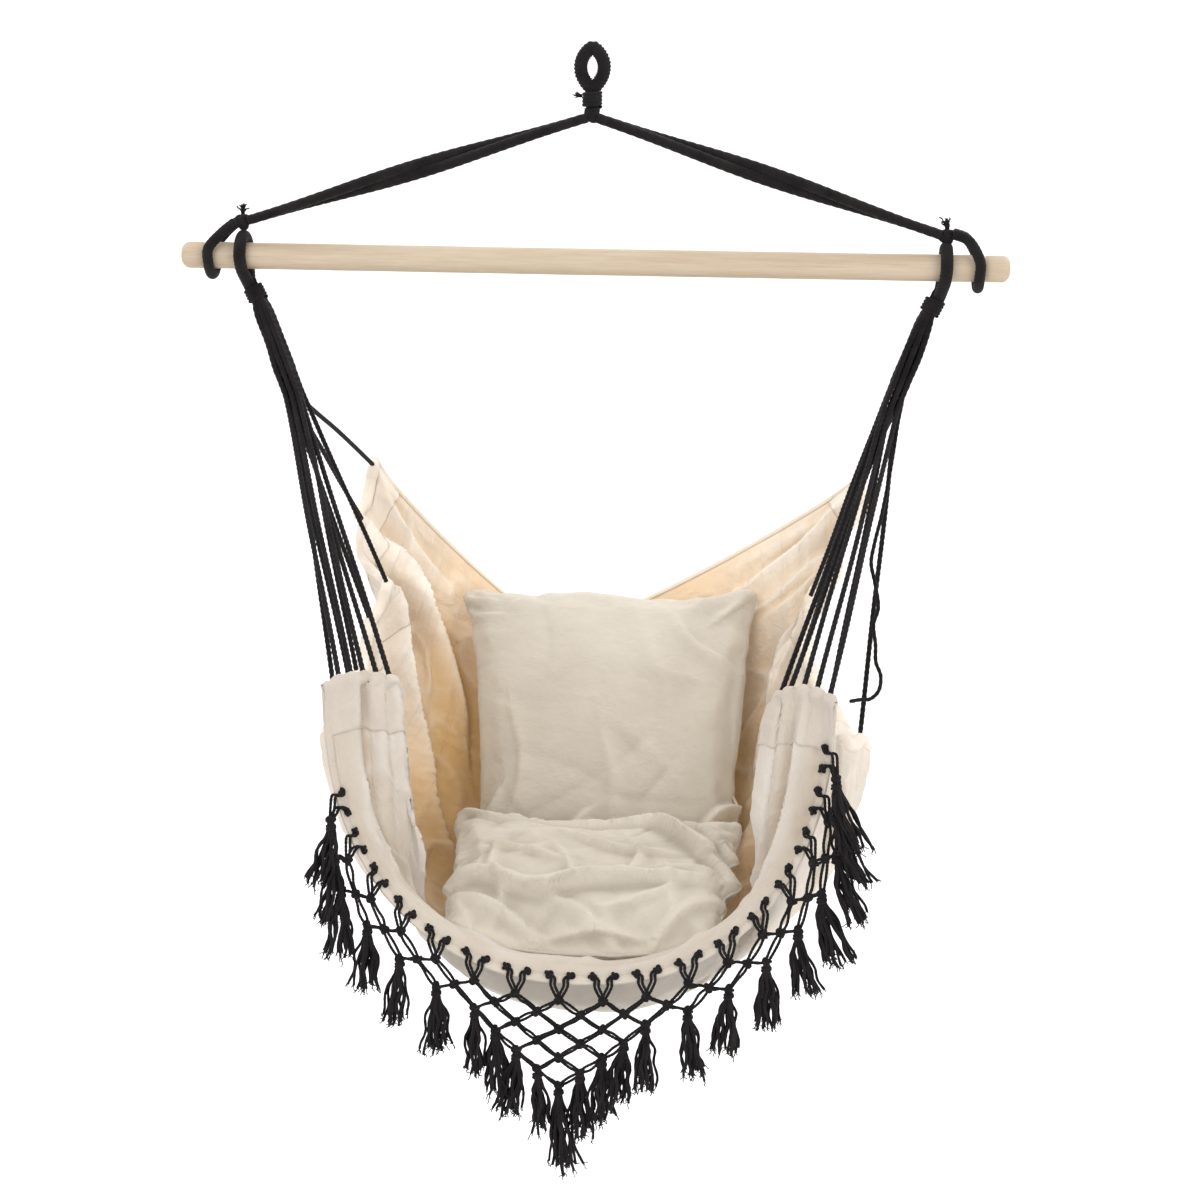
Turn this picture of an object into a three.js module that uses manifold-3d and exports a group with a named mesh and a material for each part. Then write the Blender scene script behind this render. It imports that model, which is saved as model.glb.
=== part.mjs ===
// Hammock chair: a rope eye, a doubled rope bridle, a wooden spreader bar, two bundles of
// suspension cords, a canvas seat with a knotted fringe, and two loose cushions.
// Millimetres, +Z up. The origin is where the hook touches the top inside of the rope eye.
// +X points to the right as seen from in front, and +Y points to the back of the chair.

import * as THREE from 'three';
import { mergeVertices } from 'three/addons/utils/BufferGeometryUtils.js';
import Module from 'manifold-3d';

const wasm = await Module();
wasm.setup();

// Clearances
const gap = 0.3;
const wrapGap = 0.5;
const barGap = 0.9;
const restGap = 0.7;

// Counts
const sides = [-1, 1];
const ropeSides = 8;
const hitchSides = 6;
const crownSides = 12;
const ballRings = 6;
const strandSides = 3;
const cordSides = 5;
const windingSides = 5;
const windingStepsPerTurn = 10;
const roundSides = 16;
const quarterTurn = Math.PI / 2;
const fullTurn = Math.PI * 2;

// Rope eye that hangs on the hook
const eyeRopeRadius = 8;
const eyeHoleHalfWidth = 5.75;
const eyeHoleHeight = 33;
const eyeThroatLength = 9;
const eyeNeckRadius = 8;
const eyeNeckLength = 20;
const eyeSteps = 12;

// Windings of thin cord round the necks
const windingCordRadius = 1.8;
const windingPitch = 4.1;
const windingTurns = 4;
const eyeWindingInset = 2;
const bundleWindingInset = 7;
const tailLength = 12;
const tailRootRadius = 1.6;
const tailEndRadius = 3.6;
const tailRiseShare = 0.125;

// Swivelling crown below the eye
const crownRadius = 8;

// Spreader bar
const barLength = 1000;
const barRadius = 16;
const barDrop = 242;
const barEndRounding = 8;
const barBevelShare = 0.3;
const barGrooveInset = 31;
const barGrooveWidth = 8;
const barGrooveDepth = 1.2;

// Rope loops that hang the seat on the bar
const loopInset = 76;
const loopX = barLength / 2 - loopInset;
const loopRopeRadius = 7;
const loopArcSteps = 9;
const loopArcStartShare = -0.167;
const loopSteps = 11;
const neckSides = 12;
const neckRadius = 9.5;
const neckTopDrop = 32;
const neckLength = 28;
const neckTopInset = 7;
const neckBottomInset = 20;

// Bridle between the crown and the bar
const bridleRopeRadius = 4.6;
const bridleSteps = 8;
const knotRadius = 9.5;
const knotFacetShare = 0.93;

// Rope hitches that hold the bridle on the bar
const hitchInset = 37;
const hitchX = barLength / 2 - hitchInset;
const hitchRopeRadius = 6;
const hitchSteps = 18;
const hitchEndGap = 0.95;
const hitchTurnRadius = barRadius + barGap + hitchRopeRadius;

// Trunks of bundled cord below the loops
const trunkHalfWidth = 11.5;
const trunkHalfDepth = 15;
const trunkBottomInset = 49;
const trunkBottomX = loopX - trunkBottomInset;
const trunkGap = 1;
const trunkBottomDrop = 385;
const trunkSides = 12;

// Suspension cords
const cordRadius = 2.5;
const cordSpacing = 8;
const cordRows = 3;
const cordLeadLength = 24;
const leadBendShare = 0.67;
const cordHemClearance = 0.65;
const cordSteps = 5;
const cordHemShares = {
  left: [0.026, 0.044, 0.062, 0.081, 0.1, 0.25, 0.315, 0.46, 0.62, 0.75, 0.876, 0.985],
  right: [0.012, 0.034, 0.056, 0.078, 0.1, 0.25, 0.315, 0.46, 0.62, 0.75, 0.876, 0.985],
};
const slackCordIndex = 5;
const slackCordSides = 8;
const slackCordSteps = 44;

// Side hems of the canvas, from the front corner to the back corner. Each row holds shares of
// the run, of the half width and of the rise.
const hemFrontReach = 320;
const hemRun = 630;
const hemHalfWidth = 350;
const hemFrontDrop = 690;
const hemRise = 145;
const seatOffset = 15;
const hemCordRadius = 3.5;
const hemCordSides = 5;
const hemCordSteps = 36;
const hemGap = 1.2;
const hemShares = {
  left: [
    [0, 0.822, 0],
    [0.04, 0.72, 0.03],
    [0.079, 0.595, -0.07],
    [0.18, 0.76, -0.4],
    [0.302, 0.9, -0.66],
    [0.4, 0.86, -0.5],
    [0.5, 0.84, -0.35],
    [0.667, 0.871, -0.166],
    [0.825, 0.859, 0.02],
    [0.905, 0.988, 0.56],
    [0.952, 0.973, 0.74],
    [1, 0.956, 1],
  ],
  right: [
    [0, 0.822, 0],
    [0.04, 0.73, 0.03],
    [0.079, 0.646, -0.07],
    [0.18, 0.8, -0.4],
    [0.302, 0.937, -0.69],
    [0.4, 0.86, -0.6],
    [0.5, 0.8, -0.5],
    [0.6, 0.76, -0.4],
    [0.698, 0.726, -0.32],
    [0.8, 0.76, -0.05],
    [0.889, 0.844, 0.345],
    [1, 0.955, 1],
  ],
};
const smoothHemShares = {
  left: [
    [0, 0.822, 0],
    [0.2, 0.78, -0.42],
    [0.45, 0.85, -0.45],
    [0.75, 0.87, -0.05],
    [1, 0.956, 1],
  ],
  right: [
    [0, 0.822, 0],
    [0.2, 0.8, -0.42],
    [0.45, 0.83, -0.55],
    [0.75, 0.76, -0.15],
    [1, 0.955, 1],
  ],
};

// Lowest line of the canvas, from the front edge to the back edge. Each row holds shares of
// the depth behind the front edge, of the drop below it and of the hem's half width.
const canvasFrontReach = 360;
const canvasFrontDrop = 1021;
const canvasDepth = 710;
const canvasBellyDrop = 124;
const canvasLineShares = [
  [0, 0, 0.06],
  [0.085, 0.35, 0.05],
  [0.197, 0.75, 0.03],
  [0.338, 1.05, 0],
  [0.507, 0.93, -0.03],
  [0.648, 0.4, -0.05],
  [0.789, -0.56, -0.1],
  [1, -1.782, -0.19],
];

// Canvas sheet
const canvasThickness = 1.5;
const canvasAcross = 20;
const canvasAlong = 20;
const sectionSteps = 18;
const frontRoundness = 2.3;
const backRoundness = 1.12;
const roundnessFadeShares = [0.6, 1];
const pleatFadeShares = [0.3, 1];

// Cushions
const cushionGrid = 8;
const cushionClothThickness = 1.5;
const cushionEdge = 5;
const cushionPullShare = 0.07;
const cushionFullnessShare = 0.62;
const fillingGap = 0.5;
const coverSlitLengthShare = 0.6;
const coverSlitDepthShare = 0.25;
const coverSlitHeight = 2;
const backCushion = {
  width: 400,
  length: 400,
  crownUp: 52,
  crownDown: 50,
  frontWidthShare: 1,
  curl: 0,
  leanDegrees: 50,
  centreX: 15,
  frontSetback: 503,
  centreDrop: 868,
};
const seatCushion = {
  width: 375,
  length: 312,
  crownUp: 42,
  crownDown: 125,
  frontWidthShare: 0.8,
  curl: 34,
  leanDegrees: 7,
  centreX: 17,
  frontSetback: 203,
  centreDrop: 1030,
};
const cushionApproach = 180;
const edgeSampleShares = [0, 0.5];
const seatLiftTilt = THREE.MathUtils.degToRad(15);
const seatLiftDirection = new THREE.Vector3(0, -Math.sin(seatLiftTilt), Math.cos(seatLiftTilt));
const backLiftDirection = new THREE.Vector3(0, 0, 1);

// Knotted fringe along the front edge
const netPitch = 50;
const netCordRadius = 2.3;
const netKnotRadius = 4.2;
const netStrandShortening = 6.3;
const netLeadLength = 23;
const netStrandLength = 31;
const sideRows = 3;
const centreRows = 7;
const netLeftReach = 365;
const netRightReach = 465;
const centreReach = 4;
const tasselLength = 74;
const tasselTipRadius = 13;
const tasselHeadRadius = 5.5;
const tasselSides = 5;
const longTasselShare = 1.33;
const netOffset = 15;
const netEdgeGap = 0.75;
const netSideForward = 8;
const netForwardShares = [0.15, 0.42];

// Colours from the real object
const ropeBlack = new THREE.MeshStandardMaterial({ color: 0x1c1a1e, roughness: 0.95, metalness: 0 });
const paleWood = new THREE.MeshStandardMaterial({ color: 0xdec8a5, roughness: 0.6, metalness: 0 });
const canvasCloth = new THREE.MeshStandardMaterial({ color: 0xe1d7c6, roughness: 0.9, metalness: 0 });
const cushionCloth = new THREE.MeshStandardMaterial({ color: 0xd6ccba, roughness: 0.9, metalness: 0 });
const fillingFleece = new THREE.MeshStandardMaterial({ color: 0xf2f1ee, roughness: 1, metalness: 0 });

const down = new THREE.Vector3(0, 0, -1);

function point(x, y, z) {
  return new THREE.Vector3(x, y, z);
}

function lerp(from, to, share) {
  return from + (to - from) * share;
}

function smoothStep(from, to, value) {
  const t = Math.min(Math.max((value - from) / (to - from), 0), 1);
  return t * t * (3 - 2 * t);
}

function curveThrough(points) {
  return new THREE.CatmullRomCurve3(points, false, 'centripetal');
}

function namedMesh(name, geometry, material) {
  const mesh = new THREE.Mesh(geometry, material);
  mesh.name = name;
  return mesh;
}

function sideName(side) {
  return side < 0 ? 'left' : 'right';
}

// A closed rod with a round or oval section along a curve
function rodGeometry(path, halfWidth, halfDepth, sectionSides, steps) {
  const section = new THREE.Shape();
  for (let i = 0; i < sectionSides; i += 1) {
    const turn = (fullTurn * i) / sectionSides;
    const across = halfWidth * Math.cos(turn);
    const along = halfDepth * Math.sin(turn);
    if (i === 0) section.moveTo(across, along);
    else section.lineTo(across, along);
  }
  section.closePath();
  return new THREE.ExtrudeGeometry(section, { steps, bevelEnabled: false, extrudePath: path });
}

function ropeGeometry(points, radius, sectionSides, steps) {
  return rodGeometry(curveThrough(points), radius, radius, sectionSides, steps);
}

// A cone or cylinder from one point to another
function taperGeometry(start, end, startRadius, endRadius, sectionSides) {
  const direction = end.clone().sub(start);
  const geometry = new THREE.CylinderGeometry(endRadius, startRadius, direction.length(), sectionSides, 1);
  const turn = new THREE.Quaternion().setFromUnitVectors(point(0, 1, 0), direction.clone().normalize());
  const middle = start.clone().lerp(end, 1 / 2);
  return geometry.applyQuaternion(turn).translate(middle.x, middle.y, middle.z);
}

function solidFrom(geometry) {
  const bare = geometry.clone();
  bare.deleteAttribute('normal');
  bare.deleteAttribute('uv');
  const merged = mergeVertices(bare);
  const vertProperties = merged.attributes.position.array;
  const triVerts = Uint32Array.from(merged.index.array);
  return new wasm.Manifold(new wasm.Mesh({ numProp: 3, vertProperties, triVerts }));
}

function geometryFrom(solid) {
  const mesh = solid.getMesh();
  const geometry = new THREE.BufferGeometry();
  geometry.setAttribute('position', new THREE.BufferAttribute(mesh.vertProperties, 3));
  geometry.setIndex(new THREE.BufferAttribute(mesh.triVerts, 1));
  return geometry;
}

function joined(geometries) {
  const solids = geometries.map(solidFrom);
  return geometryFrom(solids.reduce((whole, solid) => whole.add(solid)));
}

// Rope eye: two halves of a teardrop that close into one round neck
const eyeNeckTopZ = -eyeHoleHeight - eyeThroatLength;
const eyeNeckBottomZ = eyeNeckTopZ - eyeNeckLength;
const eyeHalfWidth = eyeHoleHalfWidth + eyeRopeRadius;
const eyeSideShares = [
  [0.76, -0.03],
  [1, -0.34],
  [0.9, -0.68],
  [0.5, -0.97],
  [0.03, -1.2],
];

function eyeHalf(side) {
  const points = [point(-side * eyeRopeRadius / 4, 0, eyeRopeRadius)];
  points.push(point(side * eyeRopeRadius / 4, 0, eyeRopeRadius));
  for (const [out, rise] of eyeSideShares) {
    points.push(point(side * out * eyeHalfWidth, 0, rise * eyeHoleHeight));
  }
  return ropeGeometry(points, eyeRopeRadius, ropeSides, eyeSteps);
}

function hangingLoop() {
  const neck = taperGeometry(
    point(0, 0, eyeNeckTopZ), point(0, 0, eyeNeckBottomZ), eyeNeckRadius, eyeNeckRadius, neckSides);
  return namedMesh('hanging_loop', joined([eyeHalf(-1), eyeHalf(1), neck]), ropeBlack);
}

// Winding: one cord laid as a helix round a straight neck
class HelixCurve extends THREE.Curve {
  constructor(start, direction, radius, pitch, turns) {
    super();
    this.start = start;
    this.axis = direction.clone().normalize();
    this.across = point(1, 0, 0).addScaledVector(this.axis, -this.axis.x).normalize();
    this.around = this.axis.clone().cross(this.across);
    this.radius = radius;
    this.pitch = pitch;
    this.turns = turns;
  }

  getPoint(t) {
    const turn = fullTurn * this.turns * t;
    return this.start.clone()
      .addScaledVector(this.axis, this.pitch * this.turns * t)
      .addScaledVector(this.across, this.radius * Math.cos(turn))
      .addScaledVector(this.around, this.radius * Math.sin(turn));
  }
}

// Least distance between a winding's neighbouring turns, measured on points of its centre line
function leastTurnGap(helix, cordRadiusOfTurn) {
  const samples = windingStepsPerTurn * helix.turns;
  const points = helix.getPoints(samples);
  let least = Infinity;
  for (let i = 0; i <= samples; i += 1) {
    for (let j = i + windingStepsPerTurn / 2; j <= samples; j += 1) {
      least = Math.min(least, points[i].distanceTo(points[j]) - 2 * cordRadiusOfTurn);
    }
  }
  return least;
}

function winding(name, top, direction, coreRadius, inset) {
  const radius = coreRadius + wrapGap + windingCordRadius;
  const axis = direction.clone().normalize();
  const start = top.clone().addScaledVector(axis, inset);
  const helix = new HelixCurve(start, axis, radius, windingPitch, windingTurns);
  console.log(name, 'least gap between turns', leastTurnGap(helix, windingCordRadius).toFixed(2), 'mm');
  const steps = windingStepsPerTurn * windingTurns;
  return namedMesh(
    name, rodGeometry(helix, windingCordRadius, windingCordRadius, windingSides, steps), ropeBlack);
}

function tail(name, root, direction) {
  const end = root.clone().addScaledVector(direction.clone().normalize(), tailLength);
  return namedMesh(name, taperGeometry(root, end, tailRootRadius, tailEndRadius, ropeSides), ropeBlack);
}

function loopTail() {
  const reach = eyeNeckRadius + wrapGap + 2 * windingCordRadius + wrapGap;
  const height = eyeNeckTopZ - eyeWindingInset - windingPitch;
  return tail('loop_tail', point(-reach, 0, height), point(-1, 0, tailRiseShare));
}

// Swivelling crown: the round knot in which the bridle's ropes meet
const crownZ = eyeNeckBottomZ - gap - crownRadius;

function bridleCrown() {
  const ball = new THREE.SphereGeometry(crownRadius, crownSides, ropeSides);
  const mesh = namedMesh('bridle_crown', ball.rotateX(quarterTurn), ropeBlack);
  mesh.position.set(0, 0, crownZ);
  return mesh;
}

// Bridle: two ropes on each side, side by side at their ends and one above the other between
const loopWrapRadius = barRadius + barGap + loopRopeRadius;
const knotZ = -barDrop + loopWrapRadius + loopRopeRadius + wrapGap + knotRadius;

function bridleRope(side, strand) {
  const crown = point(0, 0, crownZ);
  const knot = point(side * loopX, 0, knotZ);
  const along = knot.clone().sub(crown).normalize();
  const rise = point(-along.z * side, 0, along.x * side);
  const start = crown.clone().addScaledVector(along, crownRadius + gap);
  const end = knot.clone().addScaledVector(along, -knotRadius * knotFacetShare - gap);
  const offset = bridleRopeRadius + gap;
  const points = [];
  for (let i = 0; i <= bridleSteps; i += 1) {
    const share = i / bridleSteps;
    const turn = Math.PI * smoothStep(0, 1, share);
    points.push(start.clone().lerp(end, share)
      .addScaledVector(point(0, 1, 0), strand * offset * Math.cos(turn))
      .addScaledVector(rise, strand * offset * Math.sin(turn)));
  }
  return ropeGeometry(points, bridleRopeRadius, ropeSides, bridleSteps);
}

function bridle(side) {
  return [['front', -1], ['rear', 1]].map(([place, strand]) => namedMesh(
    `bridle_${sideName(side)}_${place}`, bridleRope(side, strand), ropeBlack));
}

function bridleKnot(side) {
  const ball = new THREE.SphereGeometry(knotRadius, ropeSides, ballRings);
  const mesh = namedMesh(`bridle_knot_${sideName(side)}`, ball, ropeBlack);
  mesh.position.set(side * loopX, 0, knotZ);
  return mesh;
}

function knotTail(side) {
  const root = point(side * loopX, 0, knotZ + knotRadius + gap);
  return tail(`knot_tail_${sideName(side)}`, root, point(-side * tailRiseShare, 0, 1));
}

// Hitch: one turn of rope round the bar, with both ends led up to the knot
const hitchKneeShares = [0.62, 0.55, 1.2];
const hitchTurnShares = [0.37, 0.63, 0.88, 1.12, 1.37, 1.63];

function hitchKnee(side, face) {
  const [out, forward, rise] = hitchKneeShares;
  const x = side * lerp(loopX, hitchX, out);
  return point(x, face * hitchTurnRadius * forward, -barDrop + hitchTurnRadius * rise);
}

function hitchEnd(side, face) {
  const apart = hitchRopeRadius + wrapGap;
  return point(side * (loopX + knotRadius + hitchEndGap), face * apart, knotZ - gap);
}

function barHitch(side) {
  const points = [hitchEnd(side, -1), hitchKnee(side, -1)];
  for (const share of hitchTurnShares) {
    const turn = Math.PI * share;
    const y = -hitchTurnRadius * Math.sin(turn);
    points.push(point(side * hitchX, y, -barDrop + hitchTurnRadius * Math.cos(turn)));
  }
  points.push(hitchKnee(side, 1), hitchEnd(side, 1));
  return namedMesh(
    `bar_hitch_${sideName(side)}`, ropeGeometry(points, hitchRopeRadius, hitchSides, hitchSteps), ropeBlack);
}

// Spreader bar: a turned rod with rounded ends and a shallow groove near each end
function barProfile() {
  const half = barLength / 2;
  const points = [];
  const outline = [
    [0, 0],
    [barRadius - barEndRounding, 0],
    [barRadius - barEndRounding * barBevelShare, barEndRounding * barBevelShare],
    [barRadius, barEndRounding],
    [barRadius, barGrooveInset - barGrooveWidth / 2],
    [barRadius - barGrooveDepth, barGrooveInset],
    [barRadius, barGrooveInset + barGrooveWidth / 2],
  ];
  for (const [radius, inset] of outline) points.push(new THREE.Vector2(radius, inset - half));
  for (const [radius, inset] of outline.reverse()) points.push(new THREE.Vector2(radius, half - inset));
  return points;
}

function spreaderBar() {
  const geometry = new THREE.LatheGeometry(barProfile(), roundSides).rotateZ(-quarterTurn);
  const mesh = namedMesh('spreader_bar', geometry, paleWood);
  mesh.position.set(0, 0, -barDrop);
  return mesh;
}

// Seat loop: a rope over the bar whose two legs close into one neck
function neckTop(side) {
  return point(side * (loopX - neckTopInset), 0, -barDrop - neckTopDrop);
}

function neckBottom(side) {
  return point(side * (loopX - neckBottomInset), 0, -barDrop - neckTopDrop - neckLength);
}

const loopLegShares = [
  [0.8, -0.62, 0.05],
  [0.42, -1.1, 0.16],
  [0.14, -1.42, 0.24],
  [0.1, -1.62, 0.32],
];

function loopHalf(side, face) {
  const points = [];
  for (let i = 0; i <= loopArcSteps; i += 1) {
    const turn = quarterTurn * lerp(loopArcStartShare, 1, i / loopArcSteps);
    const y = face * loopWrapRadius * Math.sin(turn);
    points.push(point(side * loopX, y, -barDrop + loopWrapRadius * Math.cos(turn)));
  }
  for (const [out, rise, inward] of loopLegShares) {
    points.push(point(
      side * (loopX - inward * loopWrapRadius), face * out * loopWrapRadius,
      -barDrop + rise * loopWrapRadius));
  }
  return ropeGeometry(points, loopRopeRadius, ropeSides, loopSteps);
}

function cordLoop(side) {
  const neck = taperGeometry(neckTop(side), neckBottom(side), neckRadius, neckRadius, neckSides);
  return namedMesh(
    `cord_loop_${sideName(side)}`, joined([loopHalf(side, -1), loopHalf(side, 1), neck]), ropeBlack);
}

function bundleWhipping(side) {
  const direction = neckBottom(side).sub(neckTop(side));
  const name = `bundle_whipping_${sideName(side)}`;
  return winding(name, neckTop(side), direction, neckRadius, bundleWindingInset);
}

// Trunk: the bundled cords between the neck and the fan
function trunkTop(side) {
  const axis = neckBottom(side).sub(neckTop(side)).normalize();
  return neckBottom(side).addScaledVector(axis, trunkGap);
}

function trunkBottom(side) {
  return point(side * trunkBottomX, 0, -trunkBottomDrop);
}

function trunkAxis(side) {
  return trunkBottom(side).sub(trunkTop(side)).normalize();
}

function cordTrunk(side) {
  const path = new THREE.LineCurve3(trunkTop(side), trunkBottom(side));
  const top = rodGeometry(path, trunkHalfDepth, trunkHalfWidth, trunkSides, 1);
  return namedMesh(`cord_trunk_${sideName(side)}`, top, ropeBlack);
}

// Hem curves and the canvas's lowest line
function hemPlaces(rows, side) {
  return rows.map(([along, out, rise]) => point(
    side * out * hemHalfWidth + seatOffset, along * hemRun - hemFrontReach, rise * hemRise - hemFrontDrop));
}

const hemCurves = {};
const smoothHemCurves = {};
for (const side of sides) {
  const name = sideName(side);
  hemCurves[name] = curveThrough(hemPlaces(hemShares[name], side));
  smoothHemCurves[name] = curveThrough(hemPlaces(smoothHemShares[name], side));
}
const canvasLine = curveThrough(canvasLineShares.map(([back, drop, aside]) => point(
  aside * hemHalfWidth, back * canvasDepth - canvasFrontReach, -canvasFrontDrop - drop * canvasBellyDrop)));

// Direction from the hem cord down to the canvas, square to the hem
function belowHem(share, side) {
  const tangent = hemCurves[sideName(side)].getTangentAt(share);
  return down.clone().addScaledVector(tangent, -down.dot(tangent)).normalize();
}

function canvasEdge(share, side) {
  const reach = hemCordRadius + canvasThickness + hemGap;
  return hemCurves[sideName(side)].getPointAt(share).addScaledVector(belowHem(share, side), reach);
}

// Half of one cross section of the canvas, from its lowest line to one of its side hems
function canvasSection(share, side) {
  const centre = canvasLine.getPointAt(share);
  const smooth = smoothHemCurves[sideName(side)].getPointAt(share);
  const pleat = canvasEdge(share, side).sub(smooth);
  const roundness = lerp(frontRoundness, backRoundness, smoothStep(...roundnessFadeShares, share));
  const points = [];
  for (let i = 0; i <= sectionSteps; i += 1) {
    const turnShare = i / sectionSteps;
    const turn = quarterTurn * turnShare;
    const out = Math.sin(turn) ** (2 / roundness);
    const up = 1 - Math.cos(turn) ** (2 / roundness);
    const back = Math.sin(turn) ** 2;
    const place = point(
      lerp(centre.x, smooth.x, out), lerp(centre.y, smooth.y, back), lerp(centre.z, smooth.z, up));
    points.push(place.addScaledVector(pleat, smoothStep(...pleatFadeShares, turnShare)));
  }
  return curveThrough(points).getSpacedPoints(canvasAcross / 2);
}

function canvasGrid() {
  const rows = [];
  for (let j = 0; j <= canvasAlong; j += 1) {
    const left = canvasSection(j / canvasAlong, -1).slice(1).reverse();
    rows.push([...left, ...canvasSection(j / canvasAlong, 1)]);
  }
  return rows;
}

// A closed sheet: the grid is its upper face, and its lower face lies one thickness below
function sheetGeometry(rows, thickness) {
  const last = rows.length - 1;
  const width = rows[0].length;
  const positions = [];
  const normalAt = (j, i) => {
    const across = rows[j][Math.min(i + 1, width - 1)].clone().sub(rows[j][Math.max(i - 1, 0)]);
    const along = rows[Math.min(j + 1, last)][i].clone().sub(rows[Math.max(j - 1, 0)][i]);
    return across.cross(along).normalize();
  };
  for (const layer of [0, 1]) {
    for (let j = 0; j <= last; j += 1) {
      for (let i = 0; i < width; i += 1) {
        const place = rows[j][i].clone().addScaledVector(normalAt(j, i), -layer * thickness);
        positions.push(place.x, place.y, place.z);
      }
    }
  }
  const layerSize = rows.length * width;
  const index = [];
  const quad = (a, b, c, d) => index.push(a, b, c, a, c, d);
  for (let j = 0; j < last; j += 1) {
    for (let i = 0; i < width - 1; i += 1) {
      const a = j * width + i;
      quad(a, a + 1, a + width + 1, a + width);
      quad(a + layerSize, a + layerSize + width, a + layerSize + width + 1, a + layerSize + 1);
    }
  }
  for (let i = 0; i < width - 1; i += 1) {
    const back = last * width + i;
    quad(i, i + layerSize, i + layerSize + 1, i + 1);
    quad(back, back + 1, back + layerSize + 1, back + layerSize);
  }
  for (let j = 0; j < last; j += 1) {
    const left = j * width;
    const right = left + width - 1;
    quad(left, left + width, left + width + layerSize, left + layerSize);
    quad(right, right + layerSize, right + width + layerSize, right + width);
  }
  const geometry = new THREE.BufferGeometry();
  geometry.setAttribute('position', new THREE.Float32BufferAttribute(positions, 3));
  geometry.setIndex(index);
  return geometry;
}

const canvasRows = canvasGrid();
const canvasMesh = namedMesh('seat_canvas', sheetGeometry(canvasRows, canvasThickness), canvasCloth);

function hemCord(side) {
  const points = hemCurves[sideName(side)].getSpacedPoints(hemCordSteps);
  return namedMesh(
    `hem_cord_${sideName(side)}`, ropeGeometry(points, hemCordRadius, hemCordSides, hemCordSteps), ropeBlack);
}

// Suspension cords, sorted into columns from front to back and into rows from inside to outside
function cordSlots(side) {
  const shares = cordHemShares[sideName(side)];
  const slots = new Array(shares.length);
  const columns = shares.length / cordRows;
  const outAt = (member) => side * hemCurves[sideName(side)].getPointAt(shares[member]).x;
  for (let column = 0; column < columns; column += 1) {
    const members = [];
    for (let row = 0; row < cordRows; row += 1) members.push(column * cordRows + row);
    members.sort((a, b) => outAt(a) - outAt(b));
    members.forEach((member, row) => {
      slots[member] = [(row - (cordRows - 1) / 2) * cordSpacing, (column - (columns - 1) / 2) * cordSpacing];
    });
  }
  return slots;
}

function cordStart(index, side) {
  const [across, back] = cordSlots(side)[index];
  const axis = trunkAxis(side);
  const outward = point(-side * axis.z, 0, side * axis.x);
  return trunkBottom(side).addScaledVector(axis, gap).addScaledVector(outward, across).add(point(0, back, 0));
}

function suspensionCord(index, side) {
  const start = cordStart(index, side);
  const lead = start.clone().addScaledVector(trunkAxis(side), cordLeadLength);
  const hemCurve = hemCurves[sideName(side)];
  const hemShare = cordHemShares[sideName(side)][index];
  const hem = hemCurve.getPointAt(hemShare);
  const direction = lead.clone().sub(hem).normalize();
  const along = Math.abs(direction.dot(hemCurve.getTangentAt(hemShare)));
  const square = Math.sqrt(1 - along * along);
  const reach = (hemCordRadius + cordHemClearance + cordRadius * along) / square;
  const end = hem.addScaledVector(direction, reach);
  const points = [start, start.clone().lerp(lead, leadBendShare), lead, lead.clone().lerp(end, 1 / 2), end];
  return namedMesh(
    `cord_${sideName(side)}_${String(index + 1).padStart(2, '0')}`,
    ropeGeometry(points, cordRadius, cordSides, cordSteps), ropeBlack);
}

// Slack cord: one cord on the right that is longer than its neighbours and hangs loose
const slackCordRoute = [
  [381, -4.5, -394], [379, -8, -406], [375, -18, -426], [370, -34, -460], [364, -54, -495],
  [357, -72, -530], [349, -88, -562], [346, -94, -583], [351, -100, -605], [356, -106, -635],
  [351, -111, -654], [354, -117, -677], [355, -123, -697], [361, -129, -712], [359, -137, -728],
  [349, -146, -736], [337, -154, -735], [325, -162, -735],
];

function slackCord() {
  const points = [cordStart(slackCordIndex, 1)];
  for (const [x, y, z] of slackCordRoute) points.push(point(x, y, z));
  const curve = curveThrough(points);
  console.log('slack cord length', curve.getLength().toFixed(0), 'mm');
  return namedMesh('slack_cord', ropeGeometry(points, cordRadius, slackCordSides, slackCordSteps), ropeBlack);
}

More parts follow.
